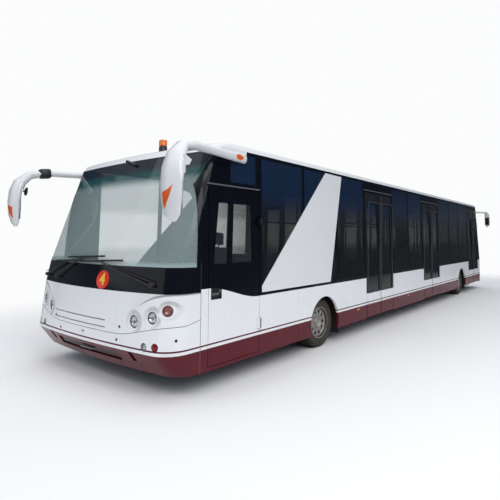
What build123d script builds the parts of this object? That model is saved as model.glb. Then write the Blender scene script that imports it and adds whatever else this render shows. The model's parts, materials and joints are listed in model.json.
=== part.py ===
from build123d import *
import os
from math import asin, cos, hypot, pi, radians, sin, sqrt

# An airport apron bus, in millimetres. +X runs rearward, +Y to the right of the bus and +Z up.
# The origin is on the ground, under the middle of the whole length.

# Body
front_overhang = 3150
wheelbase = 8100
rear_overhang = 2600
body_width = 3000
skirt_z = 240
stripe_z = 490
bonnet_z = 650
mask_z = 1120
glass_z = 1400
sill_z = 1020
knee_z = 1000
lean = 0.02
cant_z = 2820
header_z = 2740
roof_z = 2965
panel = 40

body_length = front_overhang + wheelbase + rear_overhang
half_width = body_width / 2
nose_x = -body_length / 2
tail_x = body_length / 2
front_axle_x = nose_x + front_overhang
rear_axle_x = front_axle_x + wheelbase

# Passenger doors: where each starts behind the front axle, and their common size
door_starts = (1470, 4630, 8930)
door_width = 1280
door_bottom = 255
door_top = 2600
jamb_gap = 22
leaf_gap = 6
head_gap = 8
leaf_rail = 55
leaf_sill = 700
leaf_head = 190
leaf_glass = 6

# Door gear: a turning post at each jamb, with two swan-neck arms
post_radius = 20
post_from_jamb = 62
arm_length = 350
arm_radius = 14
elbow_radius = 80
elbow_out = 50
arm_closed = 12
arm_swing = 130
pivot_depth = 100
pin_radius = 9
pin_play = 0.3
arm_heights = (430, 2450)
eye_half = 20
eye_height = 44
bearing_wall = 14
bearing_height = 18

# Driver's door, on the left side only
cab_door_start = -2510
cab_door_width = 890
cab_door_bottom = 280
cab_door_top = 2330
cab_door_gap = 8
hinge_out = 18
hinge_radius = 12
hinge_lug_radius = 11
hinge_pin_radius = 5
hinge_spans = ((580, 700), (1890, 1980))

# Floor and chassis
floor_z = 340
floor_thickness = 40
platform_z = 620
rail_gap = 1300
rail_width = 90
tow_radius = 20
tow_half = 40
tow_length = 100
tow_y = 900
tow_z = 430
tow_front_end = 170
tow_rear_end = 100
tow_slot = ((-35, 35), (-60, 50))

# Wheels
tyre_radius = 380
rim_radius = 240
hub_radius = 90
spindle_radius = 45
track = 2560
kingpin_y = 1090
kingpin_radius = 22
arch_radius = 422

wheel_y = track / 2
hub_z = tyre_radius
floor_base = floor_z - floor_thickness


def block(x0, x1, y0, y1, z0, z1):
    """A box between two corners."""
    return Pos((x0 + x1) / 2, (y0 + y1) / 2, (z0 + z1) / 2) * Box(abs(x1 - x0), abs(y1 - y0), abs(z1 - z0))


def rod(x, y, z, radius, length, along="Z"):
    """A cylinder that starts at a point and runs along one axis, backwards where its length is negative."""
    turn = {"X": Rot(0, 90, 0), "Y": Rot(-90, 0, 0), "Z": Rot(0, 0, 0)}[along]
    start = Align.MIN if length > 0 else Align.MAX
    return Pos(x, y, z) * turn * Cylinder(radius, abs(length), align=(Align.CENTER, Align.CENTER, start))


def bar(start, end, width, height):
    """A flat bar from one point to another."""
    way = Vector(*end) - Vector(*start)
    plane = Plane(origin=start, x_dir=way.cross(Vector(0, 0, 1)), z_dir=way)
    return plane * Box(width, height, way.length, align=(Align.CENTER, Align.CENTER, Align.MIN))


def save(name, *shapes):
    """Write the solids of one sub-part."""
    solids = [solid for shape in shapes for solid in shape.solids()]
    export_step(Compound(solids), f"parts/{name}.step")


def half_at(z):
    """Half the body's width at a height: upright to the knee, then leaning in."""
    return half_width - lean * max(0, z - knee_z)


# The body's outline seen from above, level by level. The columns are the height, half the width,
# how far the nose lies back, the bulge across it and its corner radius, the same three for the
# tail, and the slope of the wall there: 0 upright, 90 flat
levels = (
    (skirt_z, half_at(skirt_z), 190, 95, 300, 20, 50, 230, 0),
    (stripe_z, half_at(stripe_z), 10, 90, 270, 0, 50, 230, 0),
    (knee_z, half_at(knee_z), 2, 172, 286, 0, 50, 230, 0),
    (mask_z, half_at(mask_z), 0, 190, 290, 0, 50, 230, 0),
    (glass_z, half_at(glass_z), 45, 200, 290, 20, 50, 230, 0),
    (header_z, half_at(header_z), 575, 90, 150, 225, 50, 230, 0),
    (cant_z, half_at(cant_z), 640, 90, 160, 240, 50, 230, 0),
    (roof_z - 103, half_width - 48, 735, 90, 170, 262, 50, 230, 30),
    (roof_z - 72, half_width - 88, 900, 90, 190, 330, 50, 235, 55),
    (roof_z - 47, half_width - 187, 1220, 90, 240, 520, 60, 260, 75),
    (roof_z - 25, half_width - 520, 1650, 90, 300, 900, 60, 300, 90),
    (roof_z, half_width - 1150, 2350, 30, 150, 1600, 30, 150, 90),
)
corner_steps = 5
bulge_steps = 8
flatness = 1e-7


def end_arcs(half, bulge, corner):
    """The radius of an end's shallow arc, and the angle at which its corner arc takes over."""
    sweep = (half ** 2 + bulge ** 2) / (2 * bulge)
    return sweep, asin((half - corner) / (sweep - corner))


def rounded_end(tip_x, facing, half, bulge, corner, inset):
    """Points along one end of the body, from left to right: a shallow arc between two corner arcs."""
    sweep, reach = end_arcs(half, bulge, corner)
    centre_x = tip_x - facing * sweep
    corner_x = centre_x + facing * (sweep - corner) * cos(reach)
    corner_y = half - corner
    turn = [reach + (pi / 2 - reach) * step / corner_steps for step in range(corner_steps + 1)]
    arc = [reach * (2 * step / bulge_steps - 1) for step in range(1, bulge_steps)]
    arm = corner - inset
    right = [(corner_x + facing * arm * cos(a), corner_y + arm * sin(a)) for a in turn]
    front = [(centre_x + facing * (sweep - inset) * cos(a), (sweep - inset) * sin(a)) for a in arc]
    left = [(x, -y) for x, y in reversed(right)]
    return left + front + right


def outline(level, inset):
    """The body's outline at one level, as a ring of points inset by a distance."""
    z, half, nose_back, nose_bulge, nose_corner, tail_back, tail_bulge, tail_corner, slope = level
    inward = inset * cos(radians(slope))
    nose = rounded_end(nose_x + nose_back, -1, half, nose_bulge, nose_corner, inward)
    tail = rounded_end(tail_x - tail_back, 1, half, tail_bulge, tail_corner, inward)
    return [Vector(x, y, z - inset * sin(radians(slope))) for x, y in nose + tail[::-1]]


def facet(*corners):
    """A flat face between some corners."""
    return Face(Wire.make_polygon(corners, close=True))


def skin(rings):
    """A solid whose wall runs in facets from ring to ring, closed by the first and the last."""
    faces = [facet(*rings[0]), facet(*rings[-1])]
    for low, high in zip(rings, rings[1:]):
        for index in range(len(low)):
            a, b, c, d = low[index - 1], low[index], high[index], high[index - 1]
            across_face = (b - a).cross(d - a)
            if abs(across_face.dot(c - a)) < flatness * across_face.length:
                faces.append(facet(a, b, c, d))
            else:
                faces += [facet(a, b, c), facet(a, c, d)]
    return Solid(Shell(faces))


def turned(section, sides):
    """A solid turned round the X axis in flat steps, from a closed section of x and radius."""
    faces = []
    for index in range(sides):
        turns = [2 * pi * step / sides for step in (index, index + 1)]
        for (x0, r0), (x1, r1) in zip(section, section[1:] + section[:1]):
            low = [Vector(x0, r0 * cos(turn), r0 * sin(turn)) for turn in turns]
            high = [Vector(x1, r1 * cos(turn), r1 * sin(turn)) for turn in turns]
            corners = (low if r0 else low[:1]) + (high[::-1] if r1 else high[:1])
            if len(corners) > 2:
                faces.append(facet(*corners))
    return Solid(Shell(faces))


def hull(inset=0):
    """The body's outer form from the skirt to the roof, inset by a distance."""
    return skin([outline(level, inset) for level in levels])


def nose_at(y, z):
    """Where the nose lies along the bus, at a distance from the middle line and a height."""
    low, high = [pair for pair in zip(levels, levels[1:]) if pair[0][0] <= z][-1]
    share = (z - low[0]) / (high[0] - low[0])
    half, back, bulge, corner = [a + share * (b - a) for a, b in zip(low[1:5], high[1:5])]
    sweep, reach = end_arcs(half, bulge, corner)
    if abs(y) < sweep * sin(reach):
        return nose_x + back + sweep - sqrt(sweep ** 2 - y ** 2)
    corner_x = nose_x + back + sweep - (sweep - corner) * cos(reach)
    return corner_x - sqrt(max(0, corner ** 2 - (abs(y) - half + corner) ** 2))


def side_slab(z0, z1, outer, inner, side, x0, x1):
    """A slab of the side wall between two depths below its outer face."""
    heights = [z0] + ([knee_z] if z0 < knee_z < z1 else []) + [z1]
    outside = [(side * (half_at(z) - outer), z) for z in heights]
    inside = [(side * (half_at(z) - inner), z) for z in reversed(heights)]
    face = Plane.YZ * make_face(Polyline(outside + inside, close=True))
    return Pos(x0, 0, 0) * extrude(face, x1 - x0, dir=(1, 0, 0))


def door_span(start):
    """Where a passenger door's opening starts and ends along the bus."""
    return front_axle_x + start, front_axle_x + start + door_width


cab_x0 = front_axle_x + cab_door_start
cab_x1 = cab_x0 + cab_door_width
front_seam_x = cab_x0 - 110
seam_shoulder_x = cab_x0 - 60
seam_top_x = front_axle_x - 2300
corner_clear_x = front_axle_x - 2150
rear_seam_x = tail_x - 420
rear_clear_x = tail_x - 560
arch_centres = (front_axle_x, rear_axle_x)
beyond = half_width + 60
inboard = half_width - 320


def prism(points, y0, y1):
    """A side-view outline carried across the bus from y0 to y1."""
    face = Plane.XZ * make_face(Polyline(points, close=True))
    return Pos(0, y0, 0) * extrude(face, abs(y1 - y0), dir=(0, 1 if y1 > y0 else -1, 0))


def across(x0, x1, z0, z1, side):
    """A box that goes through one side wall."""
    return block(x0, x1, side * inboard, side * beyond, z0, z1)


# Grooves where panels meet
groove_width = 5
groove_depth = 4
side_seams = (front_axle_x - 750, front_axle_x + 6680)
hood_seam_y = (700, 640)


def wall_region(side):
    """Where the side wall lies between the front and rear seams."""
    points = [
        (front_seam_x, skirt_z - 1), (front_seam_x, glass_z), (seam_shoulder_x, cab_door_top),
        (seam_top_x, cant_z), (rear_seam_x, cant_z), (rear_seam_x, skirt_z - 1),
    ]
    return prism(points, side * inboard, side * beyond)


pane_length = 1150
pillar = 60
pane_bottom = sill_z + 30
pane_top = cant_z - 45
cab_pane_bottom = cab_door_top + 70
pane_set = 2
pane_thickness = 8


def window_bays(side):
    """The stretches of window between doors, as pairs of x."""
    edges = [cab_x1 + pillar if side < 0 else corner_clear_x]
    for start in door_starts:
        x0, x1 = door_span(start)
        edges += [x0 - pillar, x1 + pillar]
    edges.append(rear_clear_x)
    return [(x0, x1) for x0, x1 in zip(edges[0::2], edges[1::2]) if x1 - x0 > 5 * pillar]


def panes(side):
    """The panes of one side, each bay shared out evenly, as x and height spans."""
    found = []
    for x0, x1 in window_bays(side):
        count = max(1, round((x1 - x0) / pane_length))
        step = (x1 - x0 + pillar) / count
        for index in range(count):
            left = x0 + index * step
            found.append((left, left + step - pillar, pane_bottom, pane_top))
    if side < 0:
        found.append((corner_clear_x, cab_x1 - pillar, cab_pane_bottom, pane_top))
    return found


gutter_out = 12
gutter_height = 16


def gutter(x0, x1, z, side):
    """The drip strip over a door."""
    return side_slab(z, z + gutter_height, -gutter_out, 1, side, x0, x1)


def side_wall(shell, side):
    """One side wall: sheet panels, window openings, door openings, wheel arches and drip strips."""
    wall = shell & wall_region(side)
    for start in door_starts:
        x0, x1 = door_span(start)
        wall = wall - across(x0, x1, skirt_z - 10, door_top, side)
        wall = wall + gutter(x0 - 20, x1 + 20, door_top + 35, side)
        for post in bearing_arms(start, side):
            wall = wall + post
    for x0, x1, z0, z1 in panes(side):
        wall = wall - across(x0, x1, z0, z1, side)
    if side < 0:
        wall = wall - across(cab_x0, cab_x1, cab_door_bottom, cab_door_top, side)
        wall = wall + gutter(cab_x0 - 20, cab_x1 + 10, cab_door_top + 12, side)
        for z0, z1 in hinge_spans:
            wall = wall + hinge_pin(z0, z1)
    for x in arch_centres:
        wall = wall - rod(x, 0, hub_z, arch_radius, side * beyond, "Y")
    for x in side_seams:
        sill_groove = side_slab(skirt_z - 1, sill_z - 40, -1, groove_depth, side, x, x + groove_width)
        wall = wall - sill_groove
    return wall


def side_panes(side):
    """The panes of one side, bonded inside their openings."""
    play = pin_play
    return [side_slab(z0 + play, z1 - play, pane_set, pane_set + pane_thickness, side, x0 + play, x1 - play)
            for x0, x1, z0, z1 in panes(side)]


# The slanted panel behind the cab, from the front axle: foot, shoulder, peak and heel
fin_corners = ((-1570, 1100), (70, 2785), (600, 2780), (164, sill_z), (-1570, sill_z))
fin_thickness = 4


def fin_panel(side):
    """The slanted white panel that stands over the glazing behind the cab."""
    points = [(front_axle_x + x, z) for x, z in fin_corners]
    x0, x1 = points[0][0] - 100, points[2][0] + 100
    sheet = side_slab(sill_z, fin_corners[1][1], -fin_thickness, 0, side, x0, x1)
    return sheet & prism(points, side * inboard, side * beyond)


def gear_points(start, side, rear):
    """Post, elbow and leaf pivot of one door leaf's gear, seen from above."""
    x0, x1 = door_span(start)
    along = -1 if rear else 1
    jamb = x1 if rear else x0
    post_w = -pivot_depth - arm_length * sin(radians(arm_closed))
    post = (jamb + along * post_from_jamb, side * (half_width + post_w))
    # The elbow is chosen in the open pose, just outside the wall, and turned back to closed
    elbow_u = -post_from_jamb * 0.25
    elbow_w = elbow_out - post_w
    back = radians(-arm_swing)
    closed_u = elbow_u * cos(back) - elbow_w * sin(back)
    closed_w = elbow_u * sin(back) + elbow_w * cos(back)
    elbow = (post[0] + along * closed_u, post[1] + side * closed_w)
    pivot = (post[0] + along * arm_length * cos(radians(arm_closed)), side * (half_width - pivot_depth))
    return post, elbow, pivot


post_bottom = floor_z + 3
post_top = door_top - 40


def swan_neck(post, elbow, pivot, z):
    """A flat bar bent at its elbow, from the post to the leaf's pivot."""
    path = FilletPolyline(post, elbow, pivot, radius=elbow_radius)
    flat_bar = extrude(trace(path, 2 * arm_radius).face(), 2 * arm_radius)
    return Pos(0, 0, z - arm_radius) * flat_bar


def door_post(start, side, rear):
    """The turning post with its two swan-neck arms and their end eyes."""
    post, elbow, pivot = gear_points(start, side, rear)
    shape = rod(post[0], post[1], post_bottom, post_radius, post_top - post_bottom)
    for z in arm_heights:
        shape = shape + swan_neck(post, elbow, pivot, z)
        shape = shape + Pos(*pivot, z) * Box(2 * eye_half, 2 * eye_half, eye_height)
        shape = shape - rod(pivot[0], pivot[1], z - eye_height, pin_radius + pin_play, 2 * eye_height)
    return shape


def leaf_hanger(pivot, z, side):
    """A bracket on the inside of a leaf, over the eye of an arm, with the pin that goes through it."""
    base = z + eye_height / 2 + 1
    top = base + 12
    plate = side_slab(base, top, panel - 1, pivot_depth + eye_half, side, pivot[0] - 25, pivot[0] + 25)
    return plate + rod(pivot[0], pivot[1], z - eye_height / 2 - 4, pin_radius, eye_height + 6)


def door_leaf(start, side, rear):
    """A leaf: a framed sheet with glass above, a panel below, and the hangers of its arms."""
    x0, x1 = door_span(start)
    middle = (x0 + x1) / 2
    if rear:
        a, b = middle + leaf_gap / 2, x1 - jamb_gap
    else:
        a, b = x0 + jamb_gap, middle - leaf_gap / 2
    frame = side_slab(door_bottom, door_top - head_gap, 0, panel, side, a, b)
    frame = frame - across(a + leaf_rail, b - leaf_rail, leaf_sill, door_top - leaf_head, side)
    play = pin_play
    glass = side_slab(leaf_sill + play, door_top - leaf_head - play, 12, 12 + leaf_glass, side,
                      a + leaf_rail + play, b - leaf_rail - play)
    pivot = gear_points(start, side, rear)[2]
    for z in arm_heights:
        frame = frame + leaf_hanger(pivot, z, side)
    return frame, glass


bearing_off = 25


def bearing_arms(start, side):
    """The socket arms that hold the tops of two posts, out from the jamb pillars."""
    arms = []
    jambs = door_span(start)
    for rear in (False, True):
        x, y = gear_points(start, side, rear)[0]
        base = post_top - bearing_height
        half = post_radius + bearing_wall
        jamb = jambs[rear]
        outward = 1 if rear else -1
        root_x = jamb + outward * pillar / 2
        end_x = x - outward * half
        root = side_slab(base, post_top, panel - 1, panel + bearing_off, side,
                         min(root_x, jamb), max(root_x, jamb))
        arm = side_slab(base, post_top, panel + bearing_off, half_width - abs(y) + half, side,
                        min(root_x, end_x), max(root_x, end_x))
        arms.append(root + arm - rod(x, y, base - 1, post_radius + pin_play, bearing_height + 2))
    return arms


def hinge_pin(z0, z1):
    """The fixed half of a cab door hinge: two lugs on the wall and the pin between them."""
    y = -(half_width + hinge_out)
    pin = rod(cab_x1, y, z0 - 14, hinge_pin_radius, z1 - z0 + 28)
    for base in (z0 - 16, z1 + 2):
        pin = pin + rod(cab_x1, y, base, hinge_lug_radius, 14)
        pin = pin + block(cab_x1, cab_x1 + 34, y - hinge_lug_radius, 2 - half_at(base), base, base + 14)
    return pin


def hinge_barrel(z0, z1):
    """The moving half of a cab door hinge: the barrel and its strap."""
    y = -(half_width + hinge_out)
    strap = block(cab_x1 - 60, cab_x1 - cab_door_gap - 1, y - 4, 2 - half_at(z0), z0, z1)
    strap = strap + block(cab_x1 - 20, cab_x1, y - 4, y + 4, z0, z1)
    barrel = strap + rod(cab_x1, y, z0, hinge_radius, z1 - z0)
    return barrel - rod(cab_x1, y, z0 - 1, hinge_pin_radius + pin_play, z1 - z0 + 2)


def front_region(z0, z1):
    """Everything ahead of the side walls between two heights."""
    points = [
        (nose_x - 10, skirt_z - 1), (front_seam_x, skirt_z - 1), (front_seam_x, glass_z),
        (seam_shoulder_x, cab_door_top), (seam_top_x, cant_z), (nose_x - 10, cant_z),
    ]
    return prism(points, -beyond, beyond) & block(nose_x - 20, seam_top_x + 20, -beyond, beyond, z0, z1)


def roof_region():
    """Everything above the side walls, and above the windscreen at the front."""
    above = block(nose_x - 10, tail_x + 10, -beyond, beyond, cant_z, roof_z + 10)
    return above + front_region(header_z, cant_z)


glass_margin = 60


def windscreen_cutter(shrink=0):
    """The side-view area that the windscreen fills, wrapping round both corners."""
    points = [
        (nose_x - 10, glass_z + shrink), (front_seam_x - glass_margin - shrink, glass_z + shrink),
        (seam_shoulder_x - glass_margin - shrink, cab_door_top),
        (seam_top_x - 2 * glass_margin - shrink, header_z - shrink), (nose_x - 10, header_z - shrink),
    ]
    return prism(points, -beyond, beyond)


# Lamps on each side of the front: y, z, radius and how far each is turned outward
headlamps = ((950, 810, 72, 8), (1215, 870, 68, 14), (1385, 950, 60, 38))
fog_lamps = ((1130, 560, 48, 10), (1290, 575, 44, 28))
lamp_set = 16
lamp_depth = 60
pocket_reach = 240

# Slots in the bonnet (y from, y to, height), and the number plate's recess in the bumper
bonnet_slots = ((-460, 800, 770), (-460, 800, 690))
slot_height = 14
plate_span = (-650, 750)
plate_heights = (330, 440)
plate_depth = 18


def lamp_places():
    """The plane of each front lamp: at the body's face, looking into the bus."""
    places = []
    for side in (-1, 1):
        for y, z, radius, turned in headlamps + fog_lamps:
            inward = (cos(radians(turned)), -side * sin(radians(turned)), 0)
            places.append((Plane(origin=(nose_at(y, z), side * y, z), z_dir=inward), radius))
    return places


def lamp_body(plane, radius):
    """One lamp: a short barrel set back in its pocket."""
    return plane.offset(lamp_set) * Cylinder(radius, lamp_depth, align=(Align.CENTER, Align.CENTER, Align.MIN))


def lamp_pocket(plane, radius):
    """The round hole that a lamp sits in."""
    return plane * Cylinder(radius + pin_play, pocket_reach)


rear_glass_half = 1180
rear_glass_bottom = 1120
rear_glass_top = 2640
rear_lamp_y = 1200
rear_lamp_heights = (560, 700, 840)
rear_lamp_size = (150, 110)

# The rear bumper: the height of its seam under the panel, and where its corner mouldings begin
rear_bumper_z = 490
rear_corner_y = 800


def rear_glass_cutter(shrink=0):
    """The opening of the rear window."""
    return block(tail_x - 330, tail_x + 20, -rear_glass_half + shrink, rear_glass_half - shrink,
                 rear_glass_bottom + shrink, rear_glass_top - shrink)


def rear_lamp(side, z, shrink=0):
    """The place of one rear lamp, through the rear panel."""
    half_w = rear_lamp_size[0] / 2 - shrink
    half_h = rear_lamp_size[1] / 2 - shrink
    return block(tail_x - 200, tail_x + 20, side * (rear_lamp_y - half_w), side * (rear_lamp_y + half_w),
                 z - half_h, z + half_h)


# Wheelhouses
house_half = 540
house_inner_y = 830
house_top = 850
house_wall = 20
flap_thickness = 8


def wheelhouse(x, side):
    """A box over one wheel, open below and to the side, with a mudflap hung behind the wheel."""
    outer_y = half_width - panel - pin_play
    box = block(x - house_half, x + house_half, side * house_inner_y, side * outer_y, floor_base, house_top)
    room = block(x - house_half + house_wall, x + house_half - house_wall, side * (house_inner_y + house_wall),
                 side * (outer_y + 50), floor_base - 10, house_top - house_wall)
    flap_x = x + house_half - house_wall
    return box - room + block(flap_x - flap_thickness, flap_x, side * 1080, side * 1440, 130, floor_base + 120)


floor_front_x = nose_x + 350
platform_back_x = cab_x1 + 160
rail_y = rail_gap / 2
rail_base = floor_base - 100


def floor_plate():
    """The low floor, notched for wheelhouses and doors, with a recess under each door post."""
    edge = half_width - panel - pin_play
    plate = block(floor_front_x, rear_seam_x, -edge, edge, floor_base, floor_z)
    for side in (-1, 1):
        for x in arch_centres:
            half = house_half + pin_play
            plate = plate - block(x - half, x + half, side * (house_inner_y - pin_play), side * beyond,
                                  floor_base - 10, floor_z + 10)
        for start in door_starts:
            x0, x1 = door_span(start)
            plate = plate - block(x0 - 5, x1 + 5, side * (half_width - panel - 20), side * beyond,
                                  floor_base - 10, floor_z + 10)
            for rear in (False, True):
                x, y = gear_points(start, side, rear)[0]
                plate = plate - rod(x, y, post_bottom - 2, post_radius + pin_play, bearing_height)
    return plate


def post_socket(start, side, rear):
    """The lower socket of a door post, a block bolted down on the floor."""
    x, y = gear_points(start, side, rear)[0]
    half = post_radius + bearing_wall
    base = floor_z + pin_play
    socket = block(x - half, x + half, y - half, y + half, base, floor_z + bearing_height)
    return socket - rod(x, y, base - 1, post_radius + pin_play, bearing_height + 2)


def tow_socket(base_x, end_x, facing, side):
    """A towing socket that rises from one end of the frame, with the bore for a towing eye's shank."""
    y = side * tow_y - tow_half
    back_x = end_x - facing * tow_length
    outline_points = [
        (base_x + facing * pin_play, rail_base + 20), (base_x + facing * 20, rail_base + 20),
        (end_x, tow_z - tow_half), (end_x, tow_z + tow_half), (back_x, tow_z + tow_half),
        (back_x, tow_z - tow_half), (base_x + facing * pin_play, floor_base),
    ]
    socket = prism(outline_points, y, y + 2 * tow_half)
    return socket - rod(end_x + facing, side * tow_y, tow_z, tow_radius, -facing * (tow_length + 2), "X")


def chassis():
    """Two long rails and the cross members between them."""
    half = rail_width / 2
    frame = block(floor_front_x, rear_seam_x, -rail_y - half, -rail_y + half, rail_base, floor_base)
    frame = frame + mirror(frame, Plane.XZ)
    count = 9
    step = (rear_seam_x - floor_front_x - 80) / (count - 1)
    for index in range(count):
        x = floor_front_x + index * step
        frame = frame + block(x, x + 80, -rail_y, rail_y, rail_base + 20, floor_base)
    for start in door_starts:
        x0, x1 = door_span(start)
        for x in (x0 - 60, x1):
            frame = frame + block(x, x + 60, -half_width + 80, half_width - 80, floor_base - 50, floor_base)
    for x, facing in ((floor_front_x, -1), (rear_seam_x, 1)):
        frame = frame + block(x, x - facing * 80, -tow_y - 60, tow_y + 60, rail_base + 20, floor_base)
    return frame


def tow_slot_cut(x0, x1, side):
    """The slot in an end panel through which a towing socket is reached."""
    (y0, y1), (z0, z1) = tow_slot
    return block(x0, x1, side * tow_y + y0, side * tow_y + y1, tow_z + z0, tow_z + z1)


def tow_sockets():
    """The four towing sockets, bolted to the ends of the frame behind slots in the panels."""
    ends = ((floor_front_x, nose_x + tow_front_end, -1), (rear_seam_x, tail_x - tow_rear_end, 1))
    return [tow_socket(*end, side) for end in ends for side in (-1, 1)]


beam_base = 120
beam_top = rail_base - 5
upright_y = 960


def axle_beam(x, steered):
    """A dropped beam with uprights at its ends and pads under the rails."""
    beam = block(x - 60, x + 60, -upright_y, upright_y, beam_base, beam_top)
    for side in (-1, 1):
        beam = beam + block(x - 50, x + 50, side * rail_y - 40, side * rail_y + 40, beam_top, rail_base)
        beam = beam + block(x - 60, x + 60, side * (upright_y - 90), side * upright_y, beam_base, hub_z + 60)
        if steered:
            beam = beam + block(x - 38, x + 38, side * (upright_y - 20), side * kingpin_y,
                                hub_z - 45, hub_z + 45)
            beam = beam + rod(x, side * kingpin_y, hub_z - 48, 48, 96)
            beam = beam - rod(x, side * kingpin_y, hub_z - 60, kingpin_radius + pin_play, 120)
        else:
            beam = beam + rod(x, side * (upright_y - 1), hub_z, 90, side * 60, "Y")
            spindle = side * (spindle_end_y - upright_y + 1)
            beam = beam + rod(x, side * (upright_y - 1), hub_z, spindle_radius, spindle, "Y")
    return beam


hub_inner = -92
bore_end = 52
spindle_end_y = wheel_y + bore_end - 4


def knuckle(side):
    """A steering knuckle: fork lugs round the beam's eye, the kingpin and the wheel spindle."""
    x = front_axle_x
    y = side * kingpin_y
    part = rod(x, y, hub_z - 90, kingpin_radius, 180)
    for z0, z1 in ((hub_z - 90, hub_z - 49), (hub_z + 49, hub_z + 90)):
        part = part + block(x - 40, x + 40, y - side * 36, y + side * 62, z0, z1)
    part = part + block(x - 55, x + 55, y + side * 50, y + side * 66, hub_z - 90, hub_z + 90)
    part = part + rod(x, y + side * 60, hub_z, spindle_radius, side * (spindle_end_y - kingpin_y - 60), "Y")
    return part


wheel_sides = 60
tyre_section = ((-92, rim_radius + pin_play), (92, rim_radius + pin_play), (116, 285), (122, 322),
                (116, 356), (98, tyre_radius), (-98, tyre_radius), (-116, 356), (-122, 322), (-116, 285))


def on_wheel(shape, x, side):
    """A wheel's part, turned to face outward and set in its place."""
    return Pos(x, side * wheel_y, hub_z) * Rot(0, 0, 90 if side > 0 else -90) * shape


disc_holes = 10
disc_hole_radius = 22
disc_hole_circle = 168
disc_hole_sides = 8


rim_section = ((hub_inner, 0), (hub_inner, hub_radius), (30, hub_radius), (44, 200), (-112, 232),
               (-112, rim_radius), (112, rim_radius), (112, 226), (60, 200), (60, hub_radius), (100, 70), (100, 0))


def rim():
    """A steel wheel: barrel, a pressed disc with holes, and the hub with its cap."""
    wheel = turned(rim_section, wheel_sides)
    wheel = wheel - rod(hub_inner - 1, 0, 0, spindle_radius + pin_play, bore_end - hub_inner + 1, "X")
    hole = extrude(Plane.YZ * RegularPolygon(disc_hole_radius, disc_hole_sides), 90)
    for index in range(disc_holes):
        angle = 2 * pi * index / disc_holes
        wheel = wheel - Pos(0, disc_hole_circle * cos(angle), disc_hole_circle * sin(angle)) * hole
    return wheel


# The split window of the cab door, from the front axle
cab_windows = (
    ((-2425, 1420), (-2345, 2140), (-2160, 2140), (-2200, 1420)),
    ((-2125, 1420), (-2095, 2140), (-1775, 2140), (-1745, 1420)),
)
cab_glass_set = 14
handle_box = (-2470, -2300, 1020, 1150)
handle_depth = 18


def cab_pane(corners, shrink):
    """One pane's outline carried through the left wall."""
    points = [(front_axle_x + x, z) for x, z in corners]
    middle_x = sum(x for x, z in points) / len(points)
    middle_z = sum(z for x, z in points) / len(points)
    inner = [(x - shrink if x > middle_x else x + shrink, z - shrink if z > middle_z else z + shrink)
             for x, z in points]
    return prism(inner, -beyond, -inboard)


def driver_door(shell):
    """The cab door: a framed leaf with a split window, a handle's recess and two hinge barrels."""
    gap = cab_door_gap
    leaf = shell & across(cab_x0 + gap, cab_x1 - gap, cab_door_bottom + gap, cab_door_top - gap, -1)
    for corners in cab_windows:
        leaf = leaf - cab_pane(corners, 0)
    x0, x1, z0, z1 = handle_box
    recess = side_slab(z0, z1, -1, handle_depth, -1, front_axle_x + x0, front_axle_x + x1)
    grip = side_slab(z0 + 45, z0 + 75, 2, 12, -1, front_axle_x + x0 - 1, front_axle_x + x1 + 1)
    leaf = leaf - recess + grip
    for z0, z1 in hinge_spans:
        leaf = leaf + hinge_barrel(z0, z1)
    return leaf


def turned_ring(x, y, z, tilt, tall, wide, facing):
    """A ring of points round an oval that looks along the bus, tipped down by an angle."""
    lean_back = radians(tilt)
    ring = []
    for index in range(horn_sides):
        angle = 2 * pi * index / horn_sides
        up = tall * sin(angle)
        ring.append(Vector(x + facing * up * sin(lean_back), y + wide * cos(angle), z + up * cos(lean_back)))
    return ring


# Mirror arms, as ovals along each: x, distance from the middle line, height, how far the oval is
# tipped, and half its height and width. The front ones are measured from the front axle
horn_sides = 12
front_horn = (
    (-1880, 1468, 2712, 0, 26, 20), (-1925, 1488, 2712, 0, 58, 46), (-2180, 1520, 2712, 0, 56, 50),
    (-2520, 1596, 2700, 0, 44, 48), (-2900, 1680, 2690, 8, 46, 58), (-3120, 1735, 2640, 35, 62, 90),
    (-3228, 1775, 2530, 62, 74, 128), (-3274, 1790, 2400, 80, 72, 150), (-3289, 1795, 2240, 90, 66, 156),
    (-3282, 1795, 2060, 96, 58, 142), (-3262, 1792, 1940, 104, 42, 100), (-3249, 1790, 1880, 108, 16, 40),
)
rear_horn = (
    (-330, 1440, 2650, 0, 34, 34), (-170, 1540, 2655, 0, 32, 32), (10, 1640, 2655, 5, 32, 38),
    (105, 1690, 2655, 15, 34, 56), (156, 1710, 2590, 55, 38, 76), (166, 1712, 2500, 80, 40, 84),
    (165, 1712, 2400, 88, 40, 84), (165, 1712, 2220, 92, 36, 80), (160, 1712, 2140, 100, 14, 34),
)
front_glass = (-3239, 1690, 1895, 1985, 2400)
rear_glass = (150, 1645, 1780, 2210, 2470)
mirror_plate = 6
flare = ((-3249, 2330), (-3164, 2475), (-3249, 2520))


def mirror_horn(side, form, base_x, stations, glass, facing):
    """A mirror: a moulded arm from the roof edge with a hanging head, and the glass in the head."""
    rings = [turned_ring(base_x + x, side * y, z, tilt, tall, wide, facing)
             for x, y, z, tilt, tall, wide in stations]
    x, y0, y1, z0, z1 = glass
    plate_x = base_x + x
    face = -facing
    horn = skin(rings) - form
    if facing < 0:
        lip = prism([(base_x + px, pz) for px, pz in flare], side * (y1 - 60), side * (y1 + 40))
        horn = horn + lip
    horn = horn - block(plate_x, plate_x + face * 200, side * (y0 - 60), side * (y1 + 60), z0 - 20, z1 + 20)
    plate = block(plate_x, plate_x + face * mirror_plate, side * y0, side * y1, z0, z1)
    return horn, plate


# Lamps on the roof: x from the front axle, y, radius and height above the roof's top
roof_lamps = ((-2230, -250, 55, 105), (-1750, -900, 105, 40))


def beacons(form):
    """The amber warning lamp and the low white dome on the roof."""
    return [rod(front_axle_x + x, y, cant_z + 40, radius, roof_z - cant_z - 40 + height) - form
            for x, y, radius, height in roof_lamps]


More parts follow.
